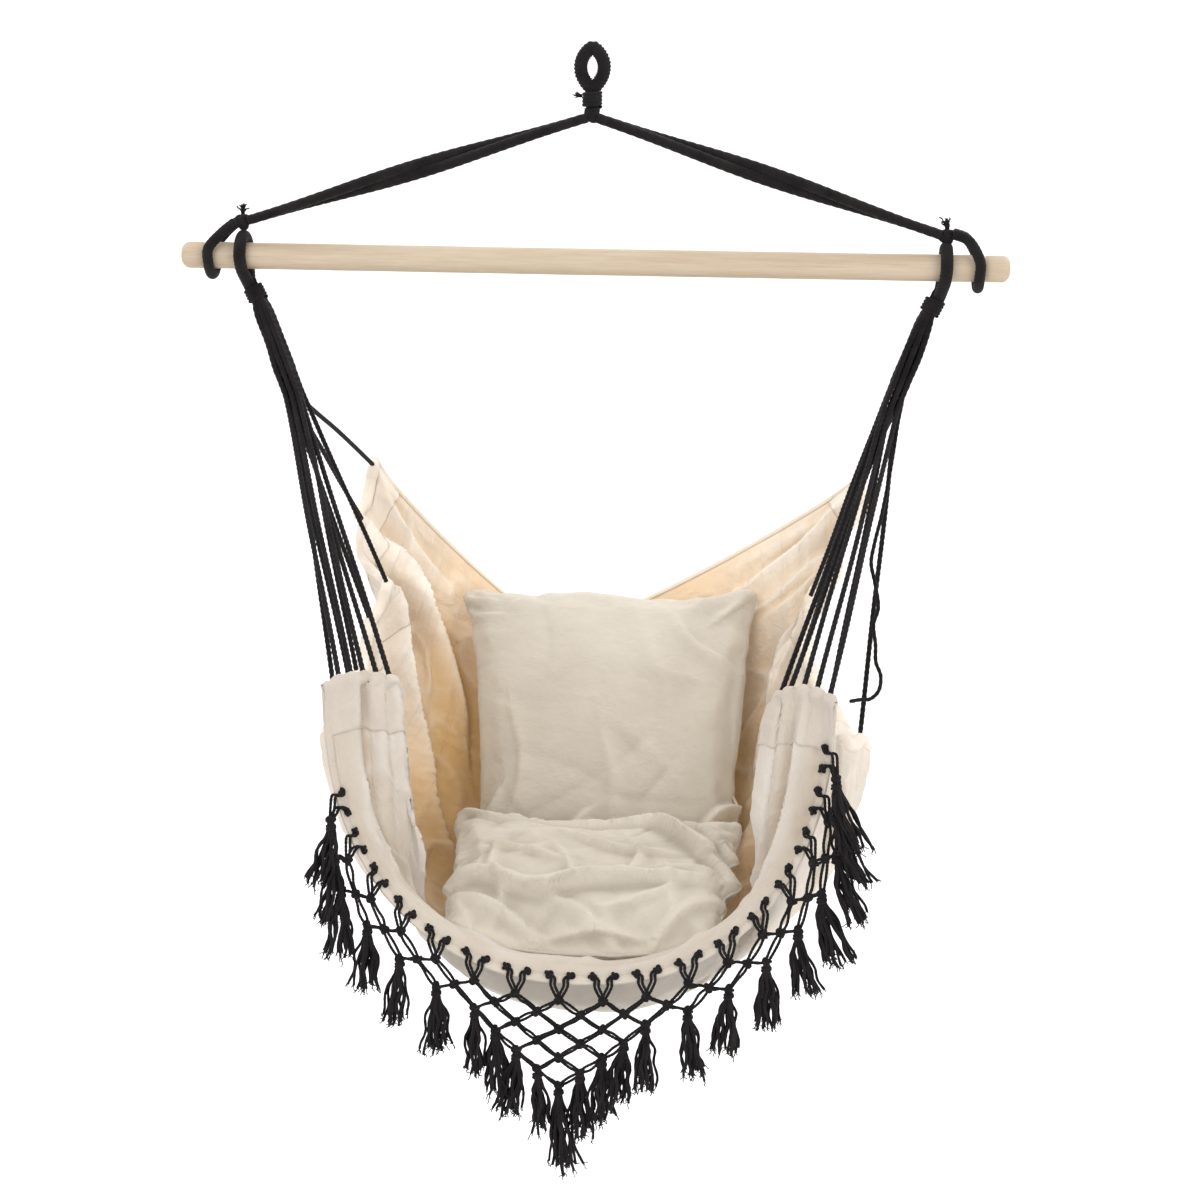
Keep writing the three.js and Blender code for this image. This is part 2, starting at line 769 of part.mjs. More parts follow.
// Cushion form: crowned on both faces, with sides that pull in between the corners
function cushionForm(cushion, shrink) {
  const halfWidth = cushion.width / 2 - shrink;
  const halfLength = cushion.length / 2 - shrink;
  const edge = cushionEdge - shrink;
  const width = cushionGrid + 1;
  const positions = [];
  const bow = (i) => Math.sin(quarterTurn * ((2 * i) / cushionGrid - 1));
  for (const face of [1, -1]) {
    const crown = face > 0 ? cushion.crownUp : cushion.crownDown;
    for (let j = 0; j < width; j += 1) {
      for (let i = 0; i < width; i += 1) {
        const a = bow(i);
        const b = bow(j);
        const openness = Math.max((1 - a * a) * (1 - b * b), 0);
        const narrowing = lerp(cushion.frontWidthShare, 1, (b + 1) / 2);
        const x = halfWidth * a * narrowing * (1 - cushionPullShare * (1 - b * b));
        const y = halfLength * b * (1 - cushionPullShare * (1 - a * a));
        const lift = cushion.curl * a * a;
        positions.push(x, y, lift + face * (edge + crown * openness ** cushionFullnessShare));
      }
    }
  }
  const layerSize = width * width;
  const index = [];
  const quad = (a, b, c, d) => index.push(a, b, c, a, c, d);
  for (let j = 0; j < cushionGrid; j += 1) {
    for (let i = 0; i < cushionGrid; i += 1) {
      const a = j * width + i;
      quad(a, a + 1, a + width + 1, a + width);
      quad(a + layerSize, a + layerSize + width, a + layerSize + width + 1, a + layerSize + 1);
    }
  }
  for (let i = 0; i < cushionGrid; i += 1) {
    const back = cushionGrid * width + i;
    const left = i * width;
    const right = left + cushionGrid;
    quad(i, i + layerSize, i + layerSize + 1, i + 1);
    quad(back, back + 1, back + layerSize + 1, back + layerSize);
    quad(left, left + width, left + width + layerSize, left + layerSize);
    quad(right, right + layerSize, right + width + layerSize, right + width);
  }
  const geometry = new THREE.BufferGeometry();
  geometry.setAttribute('position', new THREE.Float32BufferAttribute(positions, 3));
  geometry.setIndex(index);
  return geometry;
}

// Cover: a thin shell with a slit in its lower edge, through which the filling goes in
function coverGeometry(cushion) {
  const outer = solidFrom(cushionForm(cushion, 0));
  const inner = solidFrom(cushionForm(cushion, cushionClothThickness));
  const slitDepth = cushion.length * coverSlitDepthShare;
  const slit = new THREE.BoxGeometry(cushion.width * coverSlitLengthShare, slitDepth, coverSlitHeight)
    .translate(0, -cushion.length / 2, 0);
  return geometryFrom(outer.subtract(inner).subtract(solidFrom(slit)));
}

function cushionGroup(name, cushion, liftDirection) {
  const group = new THREE.Group();
  const cover = namedMesh(`${name}_cover`, coverGeometry(cushion), cushionCloth);
  const fillingForm = cushionForm(cushion, cushionClothThickness + fillingGap);
  group.add(cover, namedMesh(`${name}_filling`, fillingForm, fillingFleece));
  group.rotation.x = THREE.MathUtils.degToRad(cushion.leanDegrees);
  group.position.set(cushion.centreX, cushion.frontSetback - canvasFrontReach, -cushion.centreDrop);
  group.position.addScaledVector(liftDirection, cushionApproach);
  return group;
}

// The least distance along one direction from points on one mesh's edges to another's faces
function leastTravel(fromMesh, toMesh, direction) {
  fromMesh.updateWorldMatrix(true, false);
  toMesh.updateWorldMatrix(true, false);
  const target = new THREE.Mesh(
    toMesh.geometry.clone().applyMatrix4(toMesh.matrixWorld),
    new THREE.MeshBasicMaterial({ side: THREE.DoubleSide }));
  const caster = new THREE.Raycaster();
  const place = new THREE.Vector3();
  const positions = fromMesh.geometry.attributes.position;
  const index = fromMesh.geometry.index;
  const next = new THREE.Vector3();
  let least = Infinity;
  for (let i = 0; i < index.count; i += 1) {
    const corner = i % 3 === 2 ? i - 2 : i + 1;
    next.fromBufferAttribute(positions, index.getX(corner));
    place.fromBufferAttribute(positions, index.getX(i));
    for (const share of edgeSampleShares) {
      const sample = place.clone().lerp(next, share).applyMatrix4(fromMesh.matrixWorld);
      caster.set(sample, direction);
      const hits = caster.intersectObject(target);
      if (hits.length > 0) least = Math.min(least, hits[0].distance);
    }
  }
  return least;
}

// A cushion is let down against its lift direction until it rests on what carries it
function rest(group, liftDirection, carriers) {
  const cover = group.children[0];
  const fall = liftDirection.clone().negate();
  let travel = Infinity;
  for (const carrier of carriers) {
    travel = Math.min(travel, leastTravel(cover, carrier, fall), leastTravel(carrier, cover, liftDirection));
  }
  group.position.addScaledVector(fall, travel - restGap);
  console.log(group.children[0].name, 'rests at', group.position.toArray().map(Math.round).join(' '));
  return group;
}

// Knotted fringe: each knot hangs below the middle of the two knots or eyelets above it
const frontEdge = curveThrough(canvasRows[0]);
const frontLength = frontEdge.getLength();

const outerKnots = {
  left: 2 * Math.floor(netLeftReach / netPitch),
  right: 2 * Math.floor(netRightReach / netPitch),
};

function netExists(row, q) {
  if ((row + q) % 2 === 0) return false;
  const outer = q < 0 ? outerKnots.left : outerKnots.right;
  return Math.abs(q) <= (row <= sideRows ? outer + 1 - row : centreRows - row);
}

function eyeletPlace(arc) {
  const share = (arc - netOffset) / frontLength;
  const forward = netSideForward * smoothStep(...netForwardShares, Math.abs(share));
  const place = frontEdge.getPointAt(1 / 2 + share);
  return place.add(point(0, -netEdgeGap - netCordRadius - forward, 0));
}

function hungBelow(a, b, strandLength) {
  const half = a.distanceTo(b) / 2;
  const drop = Math.sqrt(Math.max(strandLength * strandLength - half * half, netKnotRadius ** 2));
  return a.clone().lerp(b, 1 / 2).addScaledVector(down, drop);
}

function netRegion(q) {
  if (q < -centreReach) return 'left';
  return q > centreReach ? 'right' : 'centre';
}

// Knots by row and by place, where place 0 is the middle and each step is half a pitch
function netKnots() {
  const knots = new Map();
  for (let row = 1; row <= centreRows; row += 1) {
    for (let q = -outerKnots.left; q <= outerKnots.right; q += 1) {
      if (!netExists(row, q)) continue;
      const arc = (q * netPitch) / 2;
      const above = row === 1
        ? [eyeletPlace(arc - netPitch / 4), eyeletPlace(arc + netPitch / 4)]
        : [knots.get(`${row - 1},${q - 1}`).place, knots.get(`${row - 1},${q + 1}`).place];
      const strandLength = row === 1 ? netLeadLength : netStrandLength;
      knots.set(`${row},${q}`, { row, q, above, place: hungBelow(...above, strandLength) });
    }
  }
  return knots;
}

function strandGeometry(start, end) {
  return taperGeometry(start, end, netCordRadius, netCordRadius, strandSides);
}

function tasselGeometry(knot) {
  const isLowest = knot.row === centreRows;
  const length = tasselLength * (isLowest ? longTasselShare : 1);
  const bottom = knot.place.clone().addScaledVector(down, length);
  return taperGeometry(knot.place, bottom, tasselHeadRadius, tasselTipRadius, tasselSides);
}

function fringe(region) {
  const knots = netKnots();
  const pieces = [];
  for (const knot of knots.values()) {
    if (netRegion(knot.q) === region) {
      const size = 2 * netKnotRadius;
      const knob = new THREE.BoxGeometry(size, size, size).rotateY(quarterTurn / 2);
      pieces.push(knob.translate(knot.place.x, knot.place.y, knot.place.z));
      const isOpen = !netExists(knot.row + 1, knot.q - 1) || !netExists(knot.row + 1, knot.q + 1);
      if (isOpen) pieces.push(tasselGeometry(knot));
    }
    knot.above.forEach((upper, i) => {
      const upperQ = knot.row === 1 ? knot.q : knot.q + (i === 0 ? -1 : 1);
      if (netRegion(upperQ) !== region) return;
      const strand = knot.place.clone().sub(upper);
      const isShared = netRegion(knot.q) === region;
      const reach = isShared ? 1 : 1 - (netStrandShortening + gap) / strand.length();
      pieces.push(strandGeometry(upper, upper.clone().addScaledVector(strand, reach)));
    });
  }
  return namedMesh(`fringe_${region}`, joined(pieces), ropeBlack);
}

// Assembly
const chair = new THREE.Group();
chair.add(hangingLoop());
chair.add(winding('loop_whipping', point(0, 0, eyeNeckTopZ), down, eyeNeckRadius, eyeWindingInset));
chair.add(loopTail(), bridleCrown(), spreaderBar(), canvasMesh);
for (const side of sides) {
  chair.add(...bridle(side), bridleKnot(side), knotTail(side), barHitch(side));
  chair.add(cordLoop(side), bundleWhipping(side), cordTrunk(side), hemCord(side));
  for (let index = 0; index < cordHemShares[sideName(side)].length; index += 1) {
    const isSlack = side > 0 && index === slackCordIndex;
    chair.add(isSlack ? slackCord() : suspensionCord(index, side));
  }
}
const seatCushionGroup = cushionGroup('seat_cushion', seatCushion, seatLiftDirection);
const backCushionGroup = cushionGroup('back_cushion', backCushion, backLiftDirection);
rest(seatCushionGroup, seatLiftDirection, [canvasMesh]);
rest(backCushionGroup, backLiftDirection, [canvasMesh, seatCushionGroup.children[0]]);
chair.add(seatCushionGroup, backCushionGroup);
for (const region of ['left', 'centre', 'right']) chair.add(fringe(region));

export default chair;
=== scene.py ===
"""Hammock chair: looks of the rope eye, bridle, bar, cords, canvas, fringe and cushions.

Shapes are worked out in millimetres and turned into metres as each mesh is made.
"""
import math

import bpy
import numpy as np
from mathutils import Matrix, Vector


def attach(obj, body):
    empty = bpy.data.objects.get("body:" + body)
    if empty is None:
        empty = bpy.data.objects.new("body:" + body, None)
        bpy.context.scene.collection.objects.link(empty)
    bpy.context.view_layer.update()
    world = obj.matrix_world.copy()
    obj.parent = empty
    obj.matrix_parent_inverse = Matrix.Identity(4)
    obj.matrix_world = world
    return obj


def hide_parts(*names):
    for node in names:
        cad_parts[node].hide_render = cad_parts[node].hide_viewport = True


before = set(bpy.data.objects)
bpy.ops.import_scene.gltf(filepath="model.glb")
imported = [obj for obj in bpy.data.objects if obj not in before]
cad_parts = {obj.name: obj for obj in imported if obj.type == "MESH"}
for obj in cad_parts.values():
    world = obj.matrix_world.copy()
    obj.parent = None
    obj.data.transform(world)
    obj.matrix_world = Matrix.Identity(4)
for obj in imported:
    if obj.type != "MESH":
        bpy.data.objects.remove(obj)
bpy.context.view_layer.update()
scene = bpy.context.scene
rng = np.random.default_rng(11)

MM = 0.001
TAU = 2 * math.pi
SIDES = {"left": -1, "right": 1}

# Camera fitted to the photograph, whose pixels are counted on 1200 x 1200
PHOTO_PX = 1200
FOCAL_PX = 2239
SENSOR_MM = 36
CENTRE_SHIFT_PX = 13
CAMERA_DISTANCE = 2.8
CAMERA_TARGET = Vector((0, 0, -0.662))
CAMERA_TURN = math.radians(4.5)
CAMERA_PITCH = math.radians(14)
CAMERA_ROLL = math.radians(0.59)


def make_camera():
    forward = Vector((-math.sin(CAMERA_TURN) * math.cos(CAMERA_PITCH),
                      math.cos(CAMERA_TURN) * math.cos(CAMERA_PITCH), -math.sin(CAMERA_PITCH)))
    right = Vector((math.cos(CAMERA_TURN), math.sin(CAMERA_TURN), 0))
    up = right.cross(forward)
    camera_right = right * math.cos(CAMERA_ROLL) + up * math.sin(CAMERA_ROLL)
    camera_up = up * math.cos(CAMERA_ROLL) - right * math.sin(CAMERA_ROLL)
    matrix = Matrix((camera_right, camera_up, -forward)).transposed().to_4x4()
    matrix.translation = CAMERA_TARGET - forward * CAMERA_DISTANCE
    data = bpy.data.cameras.new("camera")
    data.sensor_width = SENSOR_MM
    data.lens = SENSOR_MM * FOCAL_PX / PHOTO_PX
    data.shift_x = CENTRE_SHIFT_PX / PHOTO_PX
    camera = bpy.data.objects.new("camera", data)
    camera.matrix_world = matrix
    scene.collection.objects.link(camera)
    scene.camera = camera


make_camera()


# Curves
def through(points, per_span=24):
    """Dense points of a centripetal Catmull-Rom curve through the given points."""
    p = np.array(points, float)
    p = np.vstack([2 * p[0] - p[1], p, 2 * p[-1] - p[-2]])
    dense = []
    for i in range(1, len(p) - 2):
        p0, p1, p2, p3 = p[i - 1:i + 3]
        d0, d1, d2 = (max(np.linalg.norm(b - a), 1e-6) ** 0.5 for a, b in ((p0, p1), (p1, p2), (p2, p3)))
        m1 = ((p1 - p0) / d0 - (p2 - p0) / (d0 + d1) + (p2 - p1) / d1) * d1
        m2 = ((p2 - p1) / d1 - (p3 - p1) / (d1 + d2) + (p3 - p2) / d2) * d1
        t = np.linspace(0, 1, per_span, endpoint=False)[:, None]
        dense.append((2 * t**3 - 3 * t**2 + 1) * p1 + (t**3 - 2 * t**2 + t) * m1
                     + (3 * t**2 - 2 * t**3) * p2 + (t**3 - t**2) * m2)
    dense.append(p[-2][None])
    return np.vstack(dense)


def lengths(path):
    return np.concatenate([[0], np.cumsum(np.linalg.norm(np.diff(path, axis=0), axis=1))])


def along_line(line, places, run=None):
    """Points of a line at places in millimetres along it."""
    run = lengths(line) if run is None else run
    return np.stack([np.interp(places, run, line[:, k]) for k in range(3)], axis=-1)


def at(path, shares):
    """Points at shares of a path's length."""
    run = lengths(path)
    return along_line(path, np.clip(np.atleast_1d(shares), 0, 1) * run[-1], run)


def evenly(path, step):
    count = max(int(round(lengths(path)[-1] / step)), 2)
    return at(path, np.linspace(0, 1, count + 1))


def tangents(path):
    t = np.gradient(path, axis=0)
    return t / np.maximum(np.linalg.norm(t, axis=1), 1e-9)[:, None]


def unit(v):
    v = np.asarray(v, float)
    return v / np.linalg.norm(v)


def smooth_step(low, high, value):
    t = np.clip((np.asarray(value, float) - low) / (high - low), 0, 1)
    return t * t * (3 - 2 * t)


def frames(path):
    """Normals and binormals carried along a path without twist."""
    t = tangents(path)
    normal = np.zeros_like(path)
    side = np.array([0.0, 1.0, 0.0]) if abs(t[0][1]) < 0.9 else np.array([1.0, 0.0, 0.0])
    n = unit(side - t[0] * np.dot(side, t[0]))
    for i in range(len(path)):
        n = n - t[i] * np.dot(n, t[i])
        n = n / np.linalg.norm(n)
        normal[i] = n
    return normal, np.cross(t, normal)


def ridge(x, y, points, tall, steep, gentle):
    """Height of a fold along a line: steep on the left of its direction, gentle on the right."""
    line = through([(a, b, 0) for a, b in points], 14)[:, :2]
    run = tangents(np.column_stack([line, np.zeros(len(line))]))[:, :2]
    best = np.full(x.shape, 1e9)
    place = np.zeros(x.shape, int)
    for k, (a, b) in enumerate(line):
        far = (x - a) ** 2 + (y - b) ** 2
        nearer = far < best
        best[nearer] = far[nearer]
        place[nearer] = k
    left = run[place, 0] * (y - line[place, 1]) - run[place, 1] * (x - line[place, 0]) > 0
    fade = np.sin(math.pi * np.clip((place + 1.5) / (len(line) + 2), 0, 1)) ** 0.6
    return tall * fade * np.exp(-best / np.where(left, steep, gentle) ** 2)


def folds(u, v, size, table, whole, scale):
    """Height of a table's folds over places that are shares of a size.

    Each row of the table has height, steep width and gentle width in millimetres, which the
    scale changes, and then the shares of the points along the fold, times the number for a whole.
    """
    height = np.zeros(u.shape)
    for tall, steep, gentle, *shares in table:
        line = [(a / whole * size[0], b / whole * size[1]) for a, b in zip(shares[::2], shares[1::2])]
        height += ridge(u * size[0], v * size[1], line, scale[0] * tall, scale[1] * steep, scale[2] * gentle)
    return height


# Twists: sides of the section, strands, depth of the grooves as a share of the radius, and
# millimetres for one full turn. Plain yarn has no strands.
TWISTS = {
    "eye": (40, 5, 0.06, 19), "eye_neck": (20, 4, 0.16, 13), "whipping": (10, 2, 0.14, 7),
    "crown": (20, 5, 0.1, 40), "bridle": (20, 3, 0.08, 34), "hitch": (24, 5, 0.08, 26),
    "loop": (26, 6, 0.08, 30), "loop_neck": (10, 2, 0.2, 14), "trunk": (10, 2, 0.2, 16),
    "tie": (8, 2, 0.18, 12), "hung": (10, 2, 0.22, 15), "slack": (12, 2, 0.2, 15),
    "hem": (12, 3, 0.18, 14), "net": (8, 2, 0.2, 9), "tassel": (7, 2, 0.22, 8), "knot": (9, 2, 0.2, None),
    "fray": (6, 0, 0, None), "thread": (5, 0, 0, None), "seam": (8, 0, 0, None),
}
END_BULGE = 0.35
NO_TRIS = np.zeros((0, 3), int)


def ring_faces(count, sides):
    """Quads between rings of vertices, and triangles to the two end points that follow them."""
    i = np.arange(count - 1)[:, None] * sides
    j = np.arange(sides)[None, :]
    k = (j + 1) % sides
    quads = np.stack([i + j, i + k, i + sides + k, i + sides + j], axis=-1).reshape(-1, 4)
    j, k = j.ravel(), k.ravel()
    last = (count - 1) * sides
    low = np.stack([np.full(sides, count * sides), k, j], axis=1)
    high = np.stack([np.full(sides, count * sides + 1), last + j, last + k], axis=1)
    return quads, np.vstack([low, high])


class Pile:
    """Vertices and faces of several tubes that become one mesh."""

    def __init__(self):
        self.verts, self.quads, self.tris, self.count = [], [], [], 0

    def tube(self, path, radius, twist, phase=0.0, pitch=None):
        """A tube along a path, with the ridges of twisted strands."""
        sides, strands, depth, full_turn = TWISTS[twist]
        path = np.asarray(path, float)
        normal, binormal = frames(path)
        angle = np.linspace(0, TAU, sides, endpoint=False)
        radii = np.broadcast_to(np.asarray(radius, float).reshape(-1, 1), (len(path), sides)).copy()
        if strands:
            turn = TAU * lengths(path) / (pitch or full_turn) + phase
            wave = np.abs(np.cos(strands * (angle[None, :] - turn[:, None]) / 2))
            radii *= 1 - depth + depth * wave
        across = np.cos(angle)[None, :, None] * normal[:, None, :]
        along = np.sin(angle)[None, :, None] * binormal[:, None, :]
        ring = path[:, None, :] + radii[:, :, None] * (across + along)
        t = tangents(path)
        ends = np.stack([path[0] - t[0] * radii[0].mean() * END_BULGE,
                         path[-1] + t[-1] * radii[-1].mean() * END_BULGE])
        quads, tris = ring_faces(len(path), sides)
        self.verts.append(np.vstack([ring.reshape(-1, 3), ends]))
        self.quads.append(quads + self.count)
        self.tris.append(tris + self.count)
        self.count += len(path) * sides + 2

    def mesh(self, name, material):
        return mesh_object(name, material, np.vstack(self.verts), np.vstack(self.quads), np.vstack(self.tris))

    def rope(self, name, body, node):
        return dress(self.mesh(name, BLACK), body, "black_cord", node)


def one_rope(name, body, node, path, radius, twist, phase=0.0):
    pile = Pile()
    pile.tube(path, radius, twist, phase)
    return pile.rope(name, body, node)


def mesh_object(name, material, verts, quads, tris=NO_TRIS):
    """A smooth mesh object from millimetre arrays."""
    mesh = bpy.data.meshes.new(name)
    loops = np.concatenate([quads.ravel(), tris.ravel()]).astype(np.int32)
    starts = np.concatenate([np.arange(len(quads)) * 4, len(quads) * 4 + np.arange(len(tris)) * 3])
    mesh.vertices.add(len(verts))
    mesh.vertices.foreach_set("co", (verts * MM).astype(np.float32).ravel())
    mesh.loops.add(len(loops))
    mesh.loops.foreach_set("vertex_index", loops)
    mesh.polygons.add(len(starts))
    mesh.polygons.foreach_set("loop_start", starts.astype(np.int32))
    mesh.update(calc_edges=True)
    mesh.validate()
    mesh.shade_smooth()
    mesh.materials.append(material)
    obj = bpy.data.objects.new(name, mesh)
    scene.collection.objects.link(obj)
    return obj


def dress(obj, body, slot, *nodes):
    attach(obj, body)
    if nodes:
        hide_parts(*nodes)
    return obj


def set_points(obj, points):
    """Moves an object's vertices to points in metres."""
    obj.data.vertices.foreach_set("co", points.astype(np.float32).ravel())
    obj.data.update()


def points_and_normals(obj):
    """Vertices in millimetres, and their normals."""
    verts = obj.data.vertices
    return np.array([v.co for v in verts]) / MM, np.array([v.normal for v in verts])


def tint(obj, color):
    """Puts a colour on each vertex, which tinted cloth is multiplied by."""
    attribute = obj.data.color_attributes.new("tint", "FLOAT_COLOR", "POINT")
    attribute.data.foreach_set("color", color.astype(np.float32).ravel())


# Materials
class Shader:
    """A principled material and short ways to add nodes to it."""

    def __init__(self, name, roughness, sheen=0.0, sheen_roughness=0.5, specular=0.25):
        self.material = bpy.data.materials.new(name)
        self.material.use_nodes = True
        self.tree = self.material.node_tree
        self.bsdf = self.tree.nodes["Principled BSDF"]
        for socket, value in (("Roughness", roughness), ("Sheen Weight", sheen),
                              ("Sheen Roughness", sheen_roughness), ("Specular IOR Level", specular)):
            self.bsdf.inputs[socket].default_value = value

    def feed(self, socket, value):
        """Links an output to a socket, or sets the socket to a number or colour."""
        if isinstance(value, (int, float)):
            socket.default_value = value
        elif isinstance(value, tuple):
            socket.default_value = (*value, 1) if socket.type == "RGBA" else value
        else:
            self.tree.links.new(value, socket)

    def node(self, kind, **values):
        node = self.tree.nodes.new(kind)
        for key, value in values.items():
            if hasattr(node, key):
                setattr(node, key, value)
            else:
                self.feed(node.inputs[key], value)
        return node

    def coordinates(self, kind="Object", scale=(1, 1, 1)):
        place = self.node("ShaderNodeTexCoord").outputs[kind]
        return self.node("ShaderNodeMapping", Vector=place, Scale=scale).outputs["Vector"]

    def noise(self, vector, scale, detail=3.0, roughness=0.5):
        return self.node("ShaderNodeTexNoise", Vector=vector, Scale=scale, Detail=detail,
                         Roughness=roughness).outputs["Fac"]

    def wave(self, vector, pitch, direction):
        """Bands of one pitch, in metres, along one axis."""
        return self.node("ShaderNodeTexWave", bands_direction=direction, Vector=vector, Scale=TAU / (20 * pitch),
                         Distortion=0.6, Detail=1.0).outputs["Fac"]

    def math(self, operation, *values):
        node = self.node("ShaderNodeMath", operation=operation)
        for socket, value in zip(node.inputs, values):
            self.feed(socket, value)
        return node.outputs[0]

    def ramp(self, factor, *stops):
        node = self.node("ShaderNodeValToRGB", Fac=factor)
        while len(node.color_ramp.elements) < len(stops):
            node.color_ramp.elements.new(0.5)
        for element, (place, color) in zip(node.color_ramp.elements, stops):
            element.position = place
            element.color = (*color, 1)
        return node.outputs["Color"]

    def mix(self, factor, a, b, blend="MIX"):
        node = self.node("ShaderNodeMix", data_type="RGBA", blend_type=blend)
        for index, value in ((0, factor), (6, a), (7, b)):
            self.feed(node.inputs[index], value)
        return node.outputs[2]

    def finish(self, color, *heights):
        """Sets the colour and chained bumps, each given as height, distance in metres and strength."""
        self.feed(self.bsdf.inputs["Base Color"], color)
        normal = None
        for height, distance, strength in heights:
            node = self.node("ShaderNodeBump", Height=height, Distance=distance, Strength=strength)
            if normal is not None:
                self.feed(node.inputs["Normal"], normal)
            normal = node.outputs["Normal"]
        self.feed(self.bsdf.inputs["Normal"], normal)
        return self.material


def cord_material(name, dark, light):
    s = Shader(name, 0.86, sheen=0.05, sheen_roughness=0.6, specular=0.14)
    place = s.coordinates()
    fibres = s.noise(place, 1400, 2.0, 0.6)
    blend = s.math("MULTIPLY", fibres, s.noise(place, 45))
    return s.finish(s.ramp(blend, (0.12, dark), (0.42, light)),
                    (fibres, 0.0006, 0.55), (s.noise(place, 420, 2.0), 0.0005, 0.35))


def wood_material():
    """Pale wood: streaks, fine lines and broad tones that all run along the bar."""
    s = Shader("pale_wood", 0.5)
    streaks = s.noise(s.coordinates(scale=(1.3, 26, 26)), 9, 6.0, 0.62)
    fine = s.noise(s.coordinates(scale=(4, 240, 240)), 7, 3.0, 0.55)
    broad = s.noise(s.coordinates(scale=(0.7, 7, 7)), 5, 2.0)
    base = s.ramp(streaks, (0.28, (0.41, 0.305, 0.205)), (0.46, (0.49, 0.39, 0.28)), (0.66, (0.545, 0.45, 0.34)))
    toned = s.mix(0.35, base, s.ramp(broad, (0.35, (0.42, 0.32, 0.215)), (0.65, (0.545, 0.46, 0.35))))
    s.feed(s.bsdf.inputs["Roughness"], s.math("MULTIPLY_ADD", streaks, 0.25, 0.38))
    lined = s.mix(0.22, toned, s.ramp(fine, (0.35, (0.33, 0.235, 0.145)), (0.6, (0.56, 0.47, 0.36))))
    return s.finish(lined, (fine, 0.0003, 0.35), (streaks, 0.0004, 0.25))


def cloth_material(name, dark, middle, light, kind="Object", tinted=True, pitch=0.0013):
    """Woven cotton: threads both ways, slubs and soft stains. A tinted cloth has a colour on its vertices."""
    s = Shader(name, 0.88, sheen=0.25, sheen_roughness=0.45)
    place = s.coordinates(kind)
    weave = s.math("MAXIMUM", s.math("MULTIPLY", s.wave(place, pitch, "X"), 0.9), s.wave(place, pitch, "Y"))
    slubs = s.noise(s.coordinates(kind, (1, 14, 14)), 160)
    base = s.ramp(s.noise(place, 7, 4.0, 0.55), (0.3, dark), (0.52, middle), (0.75, light))
    base = s.mix(0.14, base, s.ramp(slubs, (0.35, dark), (0.65, light)))
    base = s.mix(0.10, base, s.ramp(weave, (0.1, dark), (0.8, light)), "MULTIPLY")
    # The vertex colour holds painted light: painted shade on the canvas and in the cushions' creases, and a warm
    # painted glow on the canvas.
    if tinted:
        vertex_color = s.node("ShaderNodeAttribute", attribute_name="tint").outputs["Color"]
        base = s.mix(1.0, base, vertex_color, "MULTIPLY")
    return s.finish(base, (weave, 0.00035, 0.5), (slubs, 0.0004, 0.3), (s.noise(place, 30, 4.0, 0.6), 0.006, 0.45),
                    (s.noise(s.coordinates(kind, (1.0, 1.7, 1.3)), 11, 5.0, 0.62), 0.012, 0.4))


BLACK = cord_material("black_cord", (0.0030, 0.0024, 0.0026), (0.0150, 0.0115, 0.0120))
WOOD = wood_material()
CANVAS = cloth_material("canvas", (0.73, 0.65, 0.56), (0.81, 0.735, 0.645), (0.85, 0.785, 0.70), "UV")
CUSHION = cloth_material("cushion_cloth", (0.485, 0.434, 0.358), (0.545, 0.494, 0.414), (0.59, 0.54, 0.46))
THREAD = cloth_material("thread", (0.55, 0.48, 0.36), (0.66, 0.58, 0.45), (0.74, 0.66, 0.52), tinted=False,
                        pitch=0.0006)

# Sizes shared with the CAD model
EYE_ROPE = 8.0
EYE_HALF_WIDTH = 13.75
EYE_HOLE = 33.0
EYE_SHARES = [(0.76, -0.03), (1, -0.34), (0.9, -0.68), (0.5, -0.97), (0.03, -1.2)]
NECK_TOP_Z = -42.0
NECK_BOTTOM_Z = -62.0
CROWN_Z = -70.3
CROWN_RADIUS = 8.0
BAR_RADIUS = 16.0
BAR_GAP = 0.9
BAR_Z = -242.0
BAR_HALF = 500.0
LOOP_X = 424.0
NECK_TOP_INSET = 7.0
NECK_BOTTOM_INSET = 20.0
NECK_TOP_DROP, NECK_BOTTOM_DROP = 32, 60
LOOP_ROPE = 7.0
LOOP_WRAP = BAR_RADIUS + BAR_GAP + LOOP_ROPE
KNOT_RADIUS = 9.5
KNOT_Z = BAR_Z + LOOP_WRAP + LOOP_ROPE + 0.5 + KNOT_RADIUS
HITCH_X = 463.0
HITCH_ROPE = 6.0
NECK_RADIUS = 9.5
TRUNK_BOTTOM = (375.0, -385.0)
CORD_RADIUS = 2.5
CORD_SPACING = 8.0
CORD_LEAD = 24.0
CORD_HEM_SHARES = {
    "left": [0.026, 0.044, 0.062, 0.081, 0.1, 0.25, 0.315, 0.46, 0.62, 0.75, 0.876, 0.985],
    "right": [0.012, 0.034, 0.056, 0.078, 0.1, 0.25, 0.315, 0.46, 0.62, 0.75, 0.876, 0.985],
}
SLACK_INDEX = 5
HEM_HALF_WIDTH, HEM_FRONT_Y, HEM_RUN, HEM_FRONT_Z, HEM_RISE, SEAT_OFFSET = 350, -320, 630, -690, 145, 15
HEM_CORD = 3.5
HEM_SHARES = {
    "left": [(0, .822, 0), (.04, .72, .03), (.079, .595, -.07), (.18, .76, -.4), (.302, .9, -.66), (.4, .86, -.5),
             (.5, .84, -.35), (.667, .871, -.166), (.825, .859, .02), (.905, .988, .56), (.952, .973, .74),
             (1, .956, 1)],
    "right": [(0, .822, 0), (.04, .73, .03), (.079, .646, -.07), (.18, .8, -.4), (.302, .937, -.69), (.4, .86, -.6),
              (.5, .8, -.5), (.6, .76, -.4), (.698, .726, -.32), (.8, .76, -.05), (.889, .844, .345),
              (1, .955, 1)],
}
